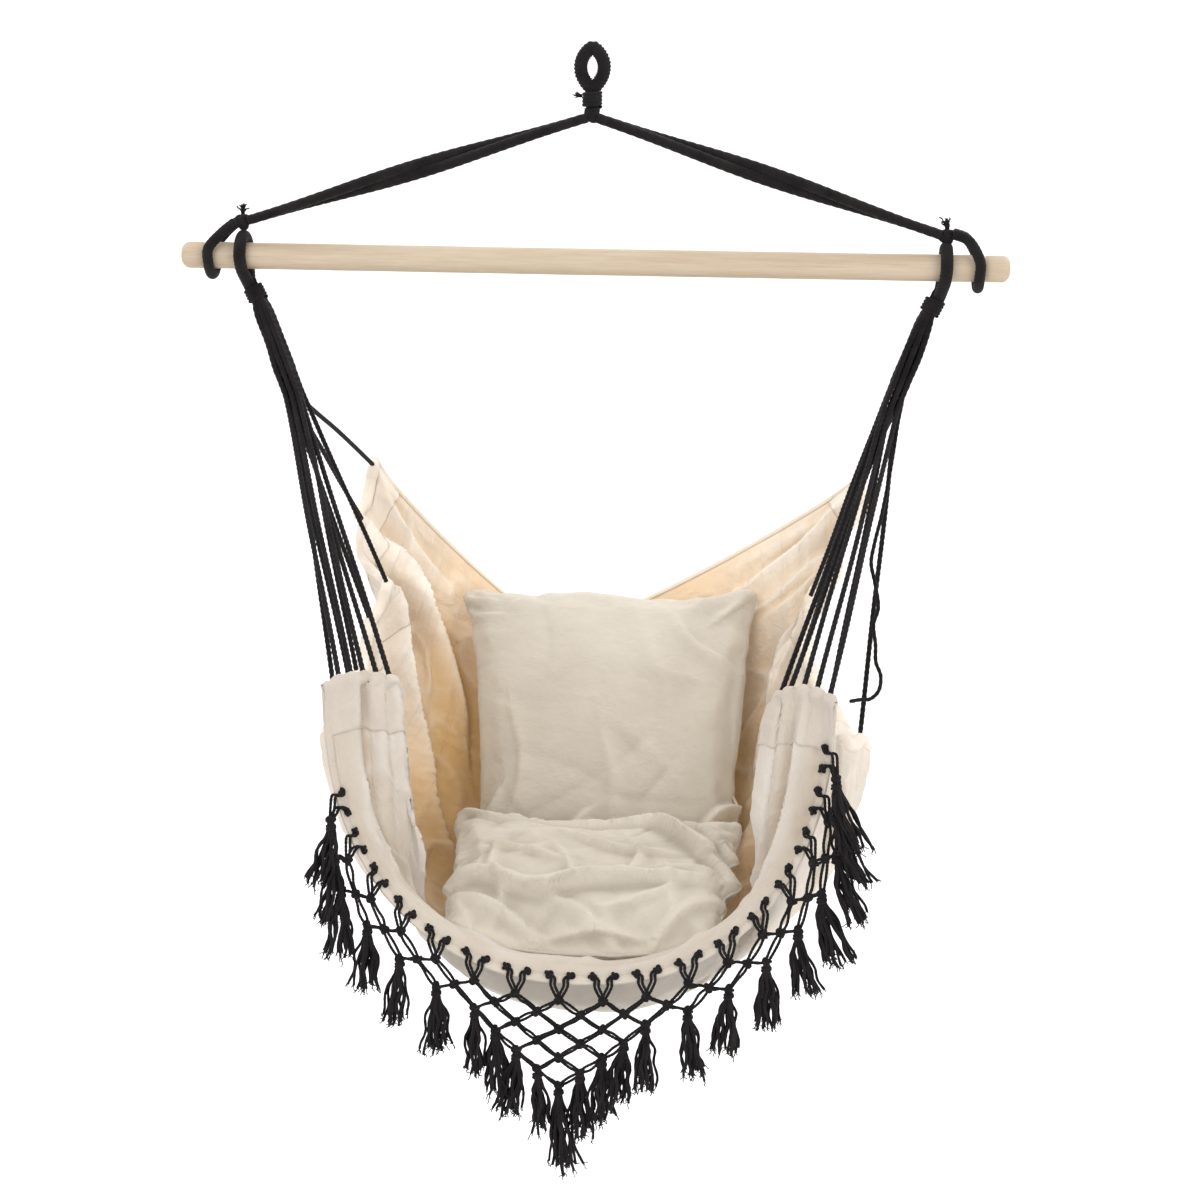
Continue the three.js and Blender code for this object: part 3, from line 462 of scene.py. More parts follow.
SMOOTH_SHARES = {
    "left": [(0, .822, 0), (.2, .78, -.42), (.45, .85, -.45), (.75, .87, -.05), (1, .956, 1)],
    "right": [(0, .822, 0), (.2, .8, -.42), (.45, .83, -.55), (.75, .76, -.15), (1, .955, 1)],
}
CANVAS_FRONT_Y, CANVAS_FRONT_Z, CANVAS_DEPTH, CANVAS_DROP = -360, -1021, 710, 124
CANVAS_LINE = [(0, 0, .06), (.085, .35, .05), (.197, .75, .03), (.338, 1.05, 0), (.507, .93, -.03), (.648, .4, -.05),
               (.789, -.56, -.1), (1, -1.782, -.19)]
CANVAS_THICKNESS = 1.5
# Colour of the painted glow where light would shine through the canvas
PAINTED_GLOW_COLOR = (0.97, 0.74, 0.46)
DOWN = np.array([0.0, 0.0, -1.0])
ACROSS = np.eye(3)[:2]
STRAND_SAG = 0.1


def hem_path(name, table):
    side = SIDES[name]
    return through([(side * out * HEM_HALF_WIDTH + SEAT_OFFSET, HEM_FRONT_Y + along * HEM_RUN,
                     HEM_FRONT_Z + rise * HEM_RISE) for along, out, rise in table[name]], 60)


HEMS = {name: hem_path(name, HEM_SHARES) for name in SIDES}
SMOOTH_HEMS = {name: hem_path(name, SMOOTH_SHARES) for name in SIDES}
LOW_LINE = through([(aside * HEM_HALF_WIDTH, CANVAS_FRONT_Y + back * CANVAS_DEPTH,
                     CANVAS_FRONT_Z - drop * CANVAS_DROP) for back, drop, aside in CANVAS_LINE], 60)


def neck_top(side):
    return np.array([side * (LOOP_X - NECK_TOP_INSET), 0, BAR_Z - NECK_TOP_DROP])


def neck_bottom(side):
    return np.array([side * (LOOP_X - NECK_BOTTOM_INSET), 0, BAR_Z - NECK_BOTTOM_DROP])


def trunk_top(side):
    return neck_bottom(side) + unit(neck_bottom(side) - neck_top(side))


def trunk_bottom(side):
    return np.array([side * TRUNK_BOTTOM[0], 0, TRUNK_BOTTOM[1]])


def cord_start(index, name):
    side = SIDES[name]
    column = index // 3
    members = sorted(range(column * 3, column * 3 + 3),
                     key=lambda m: side * at(HEMS[name], CORD_HEM_SHARES[name][m])[0][0])
    row = members.index(index)
    axis = unit(trunk_bottom(side) - trunk_top(side))
    outward = np.array([-side * axis[2], 0, side * axis[0]])
    start = trunk_bottom(side) + axis * 0.3 + outward * (row - 1) * CORD_SPACING
    return start + np.array([0, (column - 1.5) * CORD_SPACING, 0])


# Extra thickness of the drawn ropes in radius, and their other sizes in millimetres
EYE_EXTRA, EYE_RIBS, EYE_RIB_PITCH = 0.1, 0.55, 3.5
EYE_CORES, EYE_CORE_RADIUS = (-2.2, 2.2), 5.6
WHIPPING_PITCH, WHIPPING_TURNS, WHIPPING_STEPS = 4.1, 4, 160
BRIDLE_RADIUS, BRIDLE_TAPER, BRIDLE_APART, INTO_KNOT = 6.3, 0.3, 5.6, 1.5
KNOT_TWIST = 6
RIGHT_KNOT_DROP = 4
HITCH_EXTRA, HITCH_STANDOFF, HITCH_REACH = 0.5, 6.5, 0.62
HITCH_ARCH = {"left": 1.2, "right": 1.5}
HITCH_TURNS = (0.37, 0.63, 0.88, 1.12, 1.37, 1.63)
LOOP_EXTRA, LOOP_CORE_RADIUS, LOOP_CORE_RING = 0.6, 3.4, 5.6
LOOP_LEG = [(0.8, -0.62, 0.05), (0.42, -1.1, 0.16), (0.14, -1.42, 0.24), (0.1, -1.62, 0.32)]
CORD_EXTRA, CORD_WAVE, TRUNK_CORDS = 0.75, 0.9, 12
HEM_LESS = 0.6


# Slack cord: the one free cord, limp, hanging from the right trunk to the side hem
SLACK_ROUTE = [
    (381, -4.5, -394), (379, -8, -406), (375, -18, -426), (370, -34, -460), (364, -54, -495),
    (357, -72, -530), (349, -88, -562), (346, -94, -583), (351, -100, -605), (356, -106, -635),
    (351, -111, -654), (354, -117, -677), (355, -123, -697), (361, -129, -712), (359, -137, -728),
    (349, -146, -736), (337, -154, -735), (325, -162, -735),
]


def make_slack_cord():
    start = cord_start(SLACK_INDEX, "right")
    path = evenly(through([start, *SLACK_ROUTE]), 1.5)
    cord = one_rope("slack_cord_piece", "seat", "slack_cord", path, CORD_RADIUS, "slack")


make_slack_cord()


# Small ropework
def add_knot(pile, centre, size, cord, axis=(0, 1, 0), turn=0.0):
    """A trefoil knot of thin cord that fills a ball of the given radius."""
    t = np.linspace(0, TAU, 54)
    flat = np.stack([np.sin(t) + 2 * np.sin(2 * t), np.cos(t) - 2 * np.cos(2 * t), -np.sin(3 * t) * 1.6], axis=1) / 3
    spin = np.array(Matrix.Rotation(turn, 3, "Z"))
    lean = np.array(Vector(axis).to_track_quat("Z", "X").to_matrix())
    path = np.asarray(centre) + flat @ spin.T @ lean.T * (size - cord)
    pile.tube(path, cord, "knot", pitch=cord * KNOT_TWIST)


def make_whipping(name, body, node, start, axis, radius, wobble, cord):
    """Thin cord wound round a neck."""
    across = unit(np.array([1.0, 0, 0]) - axis * axis[0])
    around = np.cross(axis, across)
    t = np.linspace(0, 1, WHIPPING_STEPS + 1)
    a = TAU * WHIPPING_TURNS * t
    r = radius + wobble * np.sin(3.1 * a + 1)
    path = start + np.outer(WHIPPING_PITCH * WHIPPING_TURNS * t, axis)
    path = path + (r * np.cos(a))[:, None] * across + (r * np.sin(a))[:, None] * around
    one_rope(name, body, node, path, cord, "whipping")


def wavy(start, direction, length, splay, waves, steps):
    """One loose strand: it leaves along a direction, splays and turns down as it goes."""
    d = unit(direction)
    t = np.linspace(0, 1, steps)[:, None]
    path = np.asarray(start) + length * t * (d * (1 - STRAND_SAG * t) + DOWN * STRAND_SAG * t)
    path = path + splay * t**1.6
    phase = rng.uniform(0, TAU, 3)
    for k, axis in enumerate(ACROSS):
        wave = np.sin(waves * TAU * t + phase[k]) + 0.5 * np.sin(2.3 * waves * TAU * t + phase[k + 1])
        path = path + wave * t * 1.3 * axis
    return path


def frayed_end(name, body, node, root, direction, length, spread, count, radius):
    pile = Pile()
    for _ in range(count):
        splay = rng.normal(0, spread, 3)
        path = wavy(np.asarray(root) + rng.normal(0, radius * 0.8, 3), direction,
                    length * rng.uniform(0.75, 1.05), splay, 1.2, 10)
        pile.tube(path, np.linspace(radius, radius * 0.7, len(path)), "fray")
    pile.rope(name, body, node)


# Rope eye, whipping and crown
def make_eye():
    arms = {side: [(side * out * EYE_HALF_WIDTH, 0, rise * EYE_HOLE) for out, rise in EYE_SHARES] for side in (-1, 1)}
    points = [(-1.5, 0, NECK_TOP_Z - 4), *arms[-1][::-1], (-EYE_ROPE / 4, 0, EYE_ROPE),
              (EYE_ROPE / 4, 0, EYE_ROPE), *arms[1], (1.5, 0, NECK_TOP_Z - 4)]
    line = evenly(through(points), 0.7)
    pile = Pile()
    pile.tube(line, EYE_ROPE + EYE_EXTRA + EYE_RIBS * np.cos(TAU * lengths(line) / EYE_RIB_PITCH), "eye")
    for shift in EYE_CORES:
        pile.tube(np.linspace((shift, 0, NECK_TOP_Z + 3), (shift, 0, NECK_BOTTOM_Z), 24), EYE_CORE_RADIUS, "eye_neck")
    pile.rope("rope_eye", "eye", "hanging_loop")
    make_whipping("eye_whipping", "neck", "loop_whipping", np.array([0, 0, NECK_TOP_Z - 1]), DOWN,
                  EYE_ROPE + 2, 0.12, 2.3)
    frayed_end("eye_tail", "neck", "loop_tail", (-12.6, 0, -47.1), (-1, 0, 0.3), 11, 2.2, 12, 0.9)
    pile = Pile()
    add_knot(pile, (0, 0, CROWN_Z), CROWN_RADIUS + 1.2, 4.6, (0.15, 1, 0.1))
    add_knot(pile, (0, 0, CROWN_Z), CROWN_RADIUS, 4.2, (1, 0.2, 0.3), 0.6)
    pile.tube(np.linspace((0, 0, CROWN_Z + 9), (0, 0, CROWN_Z - 3), 8), 9.6, "crown")
    pile.rope("crown_knot", "crown", "bridle_crown")


# Bridle, its knots and the hitches on the bar
def make_bridle(name):
    side = SIDES[name]
    crown = np.array([0, 0, CROWN_Z])
    knot = np.array([side * LOOP_X, 0, KNOT_Z - (RIGHT_KNOT_DROP if name == "right" else 0)])
    along = unit(knot - crown)
    rise = np.array([-along[2] * side, 0, along[0] * side])
    start = crown + along * (CROWN_RADIUS - INTO_KNOT)
    end = knot - along * (KNOT_RADIUS - INTO_KNOT)
    t = np.linspace(0, 1, 290)
    turn = math.pi * smooth_step(0, 1, t)
    swell = BRIDLE_APART * (0.75 + 0.25 * np.sin(math.pi * t))
    for place, strand in (("front", -1), ("rear", 1)):
        line = start + np.outer(t, end - start)
        line += np.outer(strand * swell * np.cos(turn), (0, 1, 0)) + np.outer(strand * swell * np.sin(turn), rise)
        one_rope(f"bridle_rope_{name}_{place}", "bridle", f"bridle_{name}_{place}", line,
                 BRIDLE_RADIUS - BRIDLE_TAPER * np.cos(TAU * t), "bridle", strand)
    pile = Pile()
    add_knot(pile, knot, KNOT_RADIUS + 2, 5.2, (0.2 * side, 1, 0.1), 0.4)
    add_knot(pile, knot, KNOT_RADIUS + 0.4, 4.8, (1, 0.3, 0.4 * side), 1.1)
    pile.rope(f"tied_knot_{name}", "bridle", f"bridle_knot_{name}")
    frayed_end(f"frayed_tail_{name}", "bridle", f"knot_tail_{name}", knot + np.array([0, 0, KNOT_RADIUS - 1]),
               (-side / 8, 0, 1), 13, 3.0, 20, 1.2)

    radius = BAR_RADIUS + BAR_GAP + HITCH_ROPE
    arch = BAR_Z + HITCH_ARCH[name] * radius
    ends = [[(side * (LOOP_X + KNOT_RADIUS - 1), face * HITCH_STANDOFF, KNOT_Z - 0.3),
             (side * (LOOP_X + HITCH_REACH * (HITCH_X - LOOP_X)), face * 0.55 * radius, arch)] for face in (-1, 1)]
    turns = [(side * HITCH_X, -radius * math.sin(math.pi * share), BAR_Z + radius * math.cos(math.pi * share))
             for share in HITCH_TURNS]
    one_rope(f"hitch_rope_{name}", "bridle", f"bar_hitch_{name}",
             evenly(through([*ends[0], *turns, *ends[1][::-1]]), 1.1), HITCH_ROPE + HITCH_EXTRA, "hitch")


# Radius and distance from the end of the bar: the rounded end and the turned groove
BAR_END = [(0, 0), (6, 0.05), (8.5, 0.35), (11, 1.3), (13.2, 3.1), (14.9, 5.4), (15.8, 7.6), (16, 9.5), (16, 25.5),
           (15.85, 26.6), (15.3, 28.2), (14.9, 30), (14.8, 31), (14.9, 32), (15.3, 33.8), (15.85, 35.4), (16, 36.5)]
BAR_SIDES = 72


def make_bar():
    profile = [(r, x - BAR_HALF) for r, x in BAR_END]
    profile += [(BAR_RADIUS, x) for x in np.linspace(-440, 440, 60)]
    profile += [(r, BAR_HALF - x) for r, x in BAR_END[::-1]]
    angle = np.linspace(0, TAU, BAR_SIDES, endpoint=False)
    rings = []
    for r, x in profile[1:-1]:
        worn = r * (1 + 0.006 * np.sin(3 * angle + x / 140) + 0.003 * np.sin(x / 23 + 2 * angle))
        rings.append(np.stack([np.full(BAR_SIDES, x), worn * np.cos(angle), BAR_Z + worn * np.sin(angle)], axis=1))
    verts = np.vstack(rings + [[[-BAR_HALF, 0, BAR_Z], [BAR_HALF, 0, BAR_Z]]])
    bar = mesh_object("turned_bar", WOOD, verts, *ring_faces(len(rings), BAR_SIDES))
    dress(bar, "bridle", "pale_wood", "spreader_bar")


# Loops over the bar, whippings, trunks and suspension cords
def make_loop(name):
    side = SIDES[name]
    legs = {face: [(side * (LOOP_X - inward * LOOP_WRAP), face * out * LOOP_WRAP, BAR_Z + rise * LOOP_WRAP)
                   for out, rise, inward in LOOP_LEG] for face in (-1, 1)}
    arc = [(side * LOOP_X, LOOP_WRAP * math.sin(a), BAR_Z + LOOP_WRAP * math.cos(a))
           for a in np.linspace(-math.pi / 2, math.pi / 2, 13)]
    pile = Pile()
    pile.tube(evenly(through([*legs[-1][::-1], *arc, *legs[1]]), 1.1), LOOP_ROPE + LOOP_EXTRA, "loop")
    top, bottom = neck_top(side), neck_bottom(side)
    axis = unit(bottom - top)
    for k in range(7):
        a = TAU * k / 6
        r = 0 if k == 6 else LOOP_CORE_RING
        offset = np.array([r * math.cos(a), r * math.sin(a), 0])
        pile.tube(evenly(np.stack([top - axis * 6 + offset, bottom + offset]), 1.5), LOOP_CORE_RADIUS, "loop_neck", k)
    pile.rope(f"loop_rope_{name}", "seat", f"cord_loop_{name}")
    make_whipping(f"neck_whipping_{name}", "seat", f"bundle_whipping_{name}", top + axis * 7, axis,
                  NECK_RADIUS + 1, 0.15, 2.35)


def make_trunk(name):
    side = SIDES[name]
    top, bottom = trunk_top(side), trunk_bottom(side)
    axis = unit(bottom - top)
    pile = Pile()
    for index in range(TRUNK_CORDS):
        end = cord_start(index, name)
        offset = end - bottom
        middle = top * 0.5 + bottom * 0.5 + offset * 0.96 + rng.normal(0, 0.8, 3)
        line = evenly(through([top - axis * 10 + offset * 0.5, top + axis * 6 + offset * 0.8,
                               middle, end - axis * 12, end]), 1.4)
        pile.tube(line, np.linspace(3.9, 3.6, len(line)), "trunk", index)
    pile.rope(f"trunk_cords_{name}", "seat", f"cord_trunk_{name}")


def make_cords(name):
    side = SIDES[name]
    axis = unit(trunk_bottom(side) - trunk_top(side))
    for index, share in enumerate(CORD_HEM_SHARES[name]):
        if name == "right" and index == SLACK_INDEX:
            continue
        start = cord_start(index, name)
        lead = start + axis * CORD_LEAD
        hem = at(HEMS[name], share)[0]
        end = hem - unit(lead - hem) * 1.5
        path = evenly(through([start, start + (lead - start) * 2 / 3, lead, (lead + end) / 2, end]), 1.4)
        t = np.linspace(0, 1, len(path))[:, None]
        phase = rng.uniform(0, TAU, 2)
        for k, across in enumerate(ACROSS):
            path = path + CORD_WAVE * np.sin(math.pi * t) * np.sin(7 * t + phase[k]) * across
        label = f"{name}_{index + 1:02d}"
        one_rope(f"hung_cord_{label}", "seat", f"cord_{label}", path, CORD_RADIUS + CORD_EXTRA, "hung", index)


def make_hem_cord(name):
    path = np.array([hem_place(name, s) for s in np.linspace(0.011, 0.989, 640)])
    one_rope(f"hem_rope_{name}", "seat", f"hem_cord_{name}", path, HEM_CORD - HEM_LESS, "hem")


# Canvas seat
ALONG, HALF_ACROSS, SECTION_POINTS = 290, 116, 64
SHARES = np.arange(ALONG + 1) / ALONG
CASING_DEPTH = 56.0
FLAP_COLUMNS, ROLL_COLUMNS = 14, 16
HEM_DIP_MOST, HEM_DIP_RISE, HEM_DIP_OUT = 24.0, 200, 0.3
FULL_SECTION, REAR_SECTION = 2.3, 1.12
HALF_CLOTH, LONG_CLOTH = 430.0, 950.0
PLEAT_SCALE, PLEAT_LIMIT, PLEAT_LEAN = (1.2, 1.0, 1.0), 30, 0.75
LEDGE, LEDGE_REACH = 44, 0.13
OUTER_SHADE = 0.88
STITCH_PITCH, STITCH_LENGTH, THREAD_RADIUS = 4.2, 2.6, 0.45


def below_hem(name, share):
    tangent = unit(at(HEMS[name], min(share + 0.004, 1))[0] - at(HEMS[name], max(share - 0.004, 0))[0])
    return unit(DOWN - tangent * np.dot(DOWN, tangent))


def hem_dip(name, share):
    """How far the hem sags between the cords that hold it up."""
    stops = [0.0] + CORD_HEM_SHARES[name] + [1.0]
    low = max(s for s in stops if s <= share)
    high = min([s for s in stops if s > share] or [1.0])
    if high <= low:
        return 0.0
    return min(HEM_DIP_MOST, HEM_DIP_RISE * (high - low)) * math.sin(math.pi * (share - low) / (high - low)) ** 1.2


def hem_place(name, share):
    dip = hem_dip(name, share)
    out = np.array([SIDES[name] * HEM_DIP_OUT * dip, 0, 0])
    return at(HEMS[name], share)[0] + below_hem(name, share) * dip + out


def canvas_section(name, share):
    """Half of one cross section, from the lowest line to the hem."""
    centre = at(LOW_LINE, share)[0]
    smooth = at(SMOOTH_HEMS[name], share)[0]
    edge = hem_place(name, share) + below_hem(name, share) * (HEM_CORD + CANVAS_THICKNESS + 0.6)
    power = 2 / (FULL_SECTION + (REAR_SECTION - FULL_SECTION) * smooth_step(0.6, 1, share))
    t = np.linspace(0, 1, SECTION_POINTS)
    turn = t * math.pi / 2
    reach = np.stack([np.sin(turn) ** power, np.sin(turn) ** 2, 1 - np.cos(turn) ** power], axis=1)
    place = centre + (smooth - centre) * reach + smooth_step(0.3, 1, t)[:, None] * (edge - smooth)
    return at(place, np.linspace(0, 1, HALF_ACROSS + 1))


def canvas_surface():
    return np.array([np.vstack([canvas_section("left", share)[:0:-1], canvas_section("right", share)])
                     for share in SHARES])


def surface_normals(grid):
    across = np.gradient(grid, axis=1)
    along = np.gradient(grid, axis=0)
    normal = np.cross(across, along)
    return normal / np.maximum(np.linalg.norm(normal, axis=2), 1e-9)[..., None]

# Pleats that fall from the cords into the seat: a table of folds, a whole being 1000
PLEATS = [
    (20, 7, 34,  -1000, 750, -820, 744, -607, 700, -381, 561),
    (21, 7, 36,  -1000, 880, -726, 894, -488, 833, -393, 739),
    (22, 8, 34,  -1000, 100, -800, 108, -600, 130, -360, 180),
    (15, 8, 30,  -1000, 620, -840, 600, -620, 530, -450, 470),
    (13, 9, 30,  -1000, 460, -800, 450, -600, 390),
    (11, 9, 26,  -1000, 250, -800, 270, -600, 270),
    (9, 7, 24,  -980, 985, -800, 950, -550, 930),
    (8, 8, 17,  -1000, 44, -750, 45, -500, 60),
    (15, 8, 32,  417, 490, 530, 560, 700, 600, 850, 610, 1000, 620),
    (18, 7, 34,  600, 660, 667, 690, 786, 735, 1000, 750),
    (18, 7, 34,  600, 690, 726, 765, 833, 840, 1000, 876),
    (23, 8, 34,  340, 190, 600, 135, 800, 108, 1000, 100),
    (13, 9, 30,  600, 400, 800, 450, 1000, 460),
    (11, 9, 26,  600, 270, 800, 270, 1000, 250),
    (9, 7, 24,  550, 930, 800, 950, 980, 985),
    (9, 8, 17,  500, 60, 750, 50, 1000, 45),
]


def wrinkle_field(shape, cells, seed):
    """Smooth random field made of interpolated random values."""
    coarse = np.random.default_rng(seed).normal(0, 1, (cells[0] + 3, cells[1] + 3))
    y, x = (np.linspace(0, most, count) for most, count in zip(cells, shape))
    yi, xi = y.astype(int), x.astype(int)
    ty, tx = smooth_step(0, 1, y - yi)[:, None], smooth_step(0, 1, x - xi)[None, :]
    low, high = (coarse[np.ix_(yi + k, xi)] * (1 - tx) + coarse[np.ix_(yi + k, xi + 1)] * tx for k in (0, 1))
    return low * (1 - ty) + high * ty


def folded(grid):
    """The sheet with its pleats and wrinkles, and how far each place stands out of its surroundings."""
    shape = grid.shape[:2]
    run, across = np.meshgrid(np.linspace(0, 1, shape[0]), np.linspace(-1, 1, shape[1]), indexing="ij")
    side = np.abs(across)
    pleats = np.minimum(folds(across, run, (HALF_CLOTH, LONG_CLOTH), PLEATS, 1000, PLEAT_SCALE), PLEAT_LIMIT)

    def sharp(cells, seed, steep, tall):
        return (1 - np.minimum(np.abs(wrinkle_field(shape, cells, seed)) * steep, 1)) ** 2 * tall

    gathers = wrinkle_field(shape, (70, 6), 3) * smooth_step(0.5, 0.95, side) * 2.6
    broad = wrinkle_field(shape, (9, 11), 5) * 2.4
    edge = smooth_step(0, 0.05, run) * smooth_step(1, 0.96, run)
    height = (pleats + gathers + broad + sharp((14, 12), 8, 2.2, 4.2) + sharp((34, 26), 9, 2.0, 1.9)) * edge
    ledge = LEDGE * np.sin(math.pi * np.clip(run / LEDGE_REACH, 0, 1)) * smooth_step(0.75, 0.35, side)
    backwards = np.gradient(grid, axis=0)
    backwards /= np.maximum(np.linalg.norm(backwards, axis=2), 1e-9)[..., None]
    moved = grid + surface_normals(grid) * height[..., None] + backwards * (PLEAT_LEAN * pleats * edge)[..., None]
    around = height
    for _ in range(40):
        padded = np.pad(around, 1, mode="edge")
        around = (padded[:-2, 1:-1] + padded[2:, 1:-1] + padded[1:-1, :-2] + padded[1:-1, 2:]) / 4
    return moved - ledge[..., None] * DOWN, np.clip(height - around, -8, 8)


def casing_depth(name, share):
    """How far the casing's seam lies below the edge: the seam itself runs straight."""
    return CASING_DEPTH - 0.9 * hem_dip(name, share)


def cased(grid):
    """Adds the casing: each side edge goes round its hem cord and back down inside, to a seam."""
    angle = np.linspace(-0.3, 1.55, ROLL_COLUMNS) * math.pi + math.pi / 2
    rows = []
    for share, row in zip(SHARES, grid):
        radius = HEM_CORD + 2.9 + 0.5 * math.sin(260 * share) + 0.4 * math.sin(610 * share + 1)
        radius *= 0.12 + 0.88 * float(smooth_step(0, 0.011, min(share, 1 - share)))
        flaps = []
        for name, points in (("left", row), ("right", row[::-1])):
            low = below_hem(name, share)
            outward = unit(np.array([SIDES[name], 0, 0]) - low * low[0] * SIDES[name])
            circle = np.outer(np.sin(angle), low) + np.outer(np.cos(angle), -outward)
            roll = hem_place(name, share) + radius * circle
            inner = along_line(points, np.linspace(3, casing_depth(name, share), FLAP_COLUMNS))
            inner = inner - np.outer(np.linspace(2.2, -1.1, FLAP_COLUMNS), outward)
            flaps.append(np.vstack([inner[::-1], roll[::-1]]))
        rows.append(np.vstack([flaps[0], row, flaps[1][::-1]]))
    return np.array(rows)


TURNED = [0, 3, 2, 1]


def layer_faces(rows, cols):
    """Upper and lower faces of two grids of points that follow each other."""
    i = (np.arange(rows - 1)[:, None] * cols + np.arange(cols - 1)[None, :]).ravel()
    top = np.stack([i, i + 1, i + cols + 1, i + cols], axis=1)
    return [top, top[:, TURNED] + rows * cols]


def rim(c, step, layer):
    """Faces that join the edges of the two grids."""
    return np.stack([c, c + layer, c + step + layer, c + step], axis=1)


def sheet_arrays(grid, thickness):
    """A closed sheet whose lower face lies one thickness under the grid."""
    rows, cols = grid.shape[:2]
    verts = np.vstack([grid.reshape(-1, 3), (grid - surface_normals(grid) * thickness).reshape(-1, 3)])
    front, left = np.arange(cols - 1), np.arange(rows - 1) * cols
    rims = [rim(front, 1, rows * cols), rim(front + (rows - 1) * cols, 1, rows * cols)[:, TURNED],
            rim(left, cols, rows * cols)[:, TURNED], rim(left + cols - 1, cols, rows * cols)]
    return verts, np.vstack([*layer_faces(rows, cols), *rims])


def paint_cloth(obj, grid, painted_glow, shade, outer=OUTER_SHADE):
    """UVs in metres along the cloth, and a tint of painted light: a warm painted glow where light would shine
    through, and painted shade, with the outer face darker.
    """
    shape = grid.shape[:2]
    steps = [np.linalg.norm(np.diff(grid, axis=k), axis=2) for k in (1, 0)]
    ways = [np.insert(np.cumsum(step, axis=k), 0, 0, axis=k) for k, step in zip((1, 0), steps)]
    loop_verts = np.zeros(len(obj.data.loops), np.int32)
    obj.data.loops.foreach_get("vertex_index", loop_verts)
    uv = np.stack([np.tile((way * MM).ravel(), 2)[loop_verts] for way in ways], axis=1)
    obj.data.uv_layers.new(name="cloth").data.foreach_set("uv", uv.astype(np.float32).ravel())
    painted_glow, shade, outer = (np.broadcast_to(value, shape)[..., None] for value in (painted_glow, shade, outer))
    # Painted light on both faces: the upper face takes the whole painted glow and the lower face about a third, each
    # times its painted shade.
    faces = [light * shade * (1 - share * np.clip(painted_glow, 0, 1.2) * (1 - np.array(PAINTED_GLOW_COLOR)))
             for share, light in ((1.0, 1.0), (0.35, outer))]
    tint(obj, np.concatenate([np.array(faces), np.ones((2, *shape, 1))], axis=3))


def stitches(pile, line, lift):
    """A row of thread stitches along a line on the cloth."""
    run = lengths(line)
    for s in np.arange(int(run[-1] / STITCH_PITCH)) * STITCH_PITCH + 1.0:
        a, b = along_line(line, [s, s + STITCH_LENGTH], run)
        up = at(lift, s / run[-1])[0] - a
        pile.tube([a + up * 0.35, (a + b) / 2 + up, b + up * 0.35], THREAD_RADIUS, "thread")


def make_canvas():
    grid, relief = folded(canvas_surface())
    cloth = cased(grid)
    canvas = mesh_object("canvas_cloth", CANVAS, *sheet_arrays(cloth, CANVAS_THICKNESS))
    half = np.concatenate([1 - np.linspace(CASING_DEPTH, 3, FLAP_COLUMNS) / HALF_CLOTH, np.ones(ROLL_COLUMNS)])
    side = np.concatenate([half, np.abs(np.linspace(-1, 1, grid.shape[1])), half[::-1]])[None, :]
    run = np.linspace(0, 1, len(grid))[:, None]
    # Painted glow: warm where light would shine through the cloth, on the inner sides from the middle towards the
    # rear and more in the valleys of the folds, over a slight even warmth.
    deep = (0.55 + 0.45 * smooth_step(0.12, 0.34, side)) * (1 - smooth_step(0.42, 0.76, side))
    wing = deep * smooth_step(0.16, 0.55, run) * (1 - 0.6 * smooth_step(0.7, 0.92, run))
    wide = [(0, 0), (len(half), len(half))]
    relief = np.pad(relief, wide, mode="edge")
    painted_glow = 0.98 * wing + 0.1 + 0.18 * smooth_step(0.45, 0.9, run) - 0.06 * relief
    # Painted shade: the front panels darker, the valleys of the folds darker and the ridges lighter, the glowing
    # parts a little brighter.
    shade = (0.68 + 0.30 * smooth_step(0.13, 0.28, run)) * (1 + 0.016 * relief) * (1 + 0.05 * wing)
    # Painted shade: the outer face of the seat darker, but not on the casing.
    outer = np.pad(np.full((1, grid.shape[1]), OUTER_SHADE), wide, constant_values=1.0)
    paint_cloth(canvas, cloth, painted_glow, shade, outer)
    dress(canvas, "seat", "canvas", "seat_canvas")

    # Hem bands: a second layer of cloth along the front and back edges, with its seams. Their tint is painted light:
    # painted shade, darkest on the front band, and a little painted glow.
    pieces = []
    for label, sign, depth, painted_glow, shade in (("front", 1, 11, 0.08, 0.69), ("rear", -1, 7, 0.24, 0.95)):
        rows = grid[::sign]
        band = np.array([[along_line(rows[:30, i], depth * share) for i in range(grid.shape[1])]
                         for share in np.linspace(0, 1, 7)])
        normal = surface_normals(band) * sign
        puff = np.sin(np.linspace(0.12, 0.88, 7) * math.pi)[:, None, None] * 0.9 + 0.6
        verts, quads = sheet_arrays(band + normal * puff, sign)
        hem = mesh_object(f"{label}_hem", CANVAS, verts, quads if sign > 0 else quads[:, ::-1])
        paint_cloth(hem, band, painted_glow, shade)
        dress(hem, "seat", "canvas")
        pile = Pile()
        stitches(pile, band[5], band[5] + normal[5] * 1.8)
        pieces += [hem, dress(pile.mesh(f"{label}_hem_seam", THREAD), "seat", "canvas")]
    for name in SIDES:
        line = np.array([along_line(row[::-SIDES[name]], casing_depth(name, share) - 2)
                         for share, row in zip(SHARES, grid)])
        out = np.array([SIDES[name], 0.0, 0.0])
        pile = Pile()
        stitches(pile, line - out * 0.9, line - out * 2.2)
        stitches(pile, line + out * 0.6, line + out * 2.0)
        pieces.append(dress(pile.mesh(f"casing_seam_{name}", THREAD), "seat", "canvas"))
    return grid


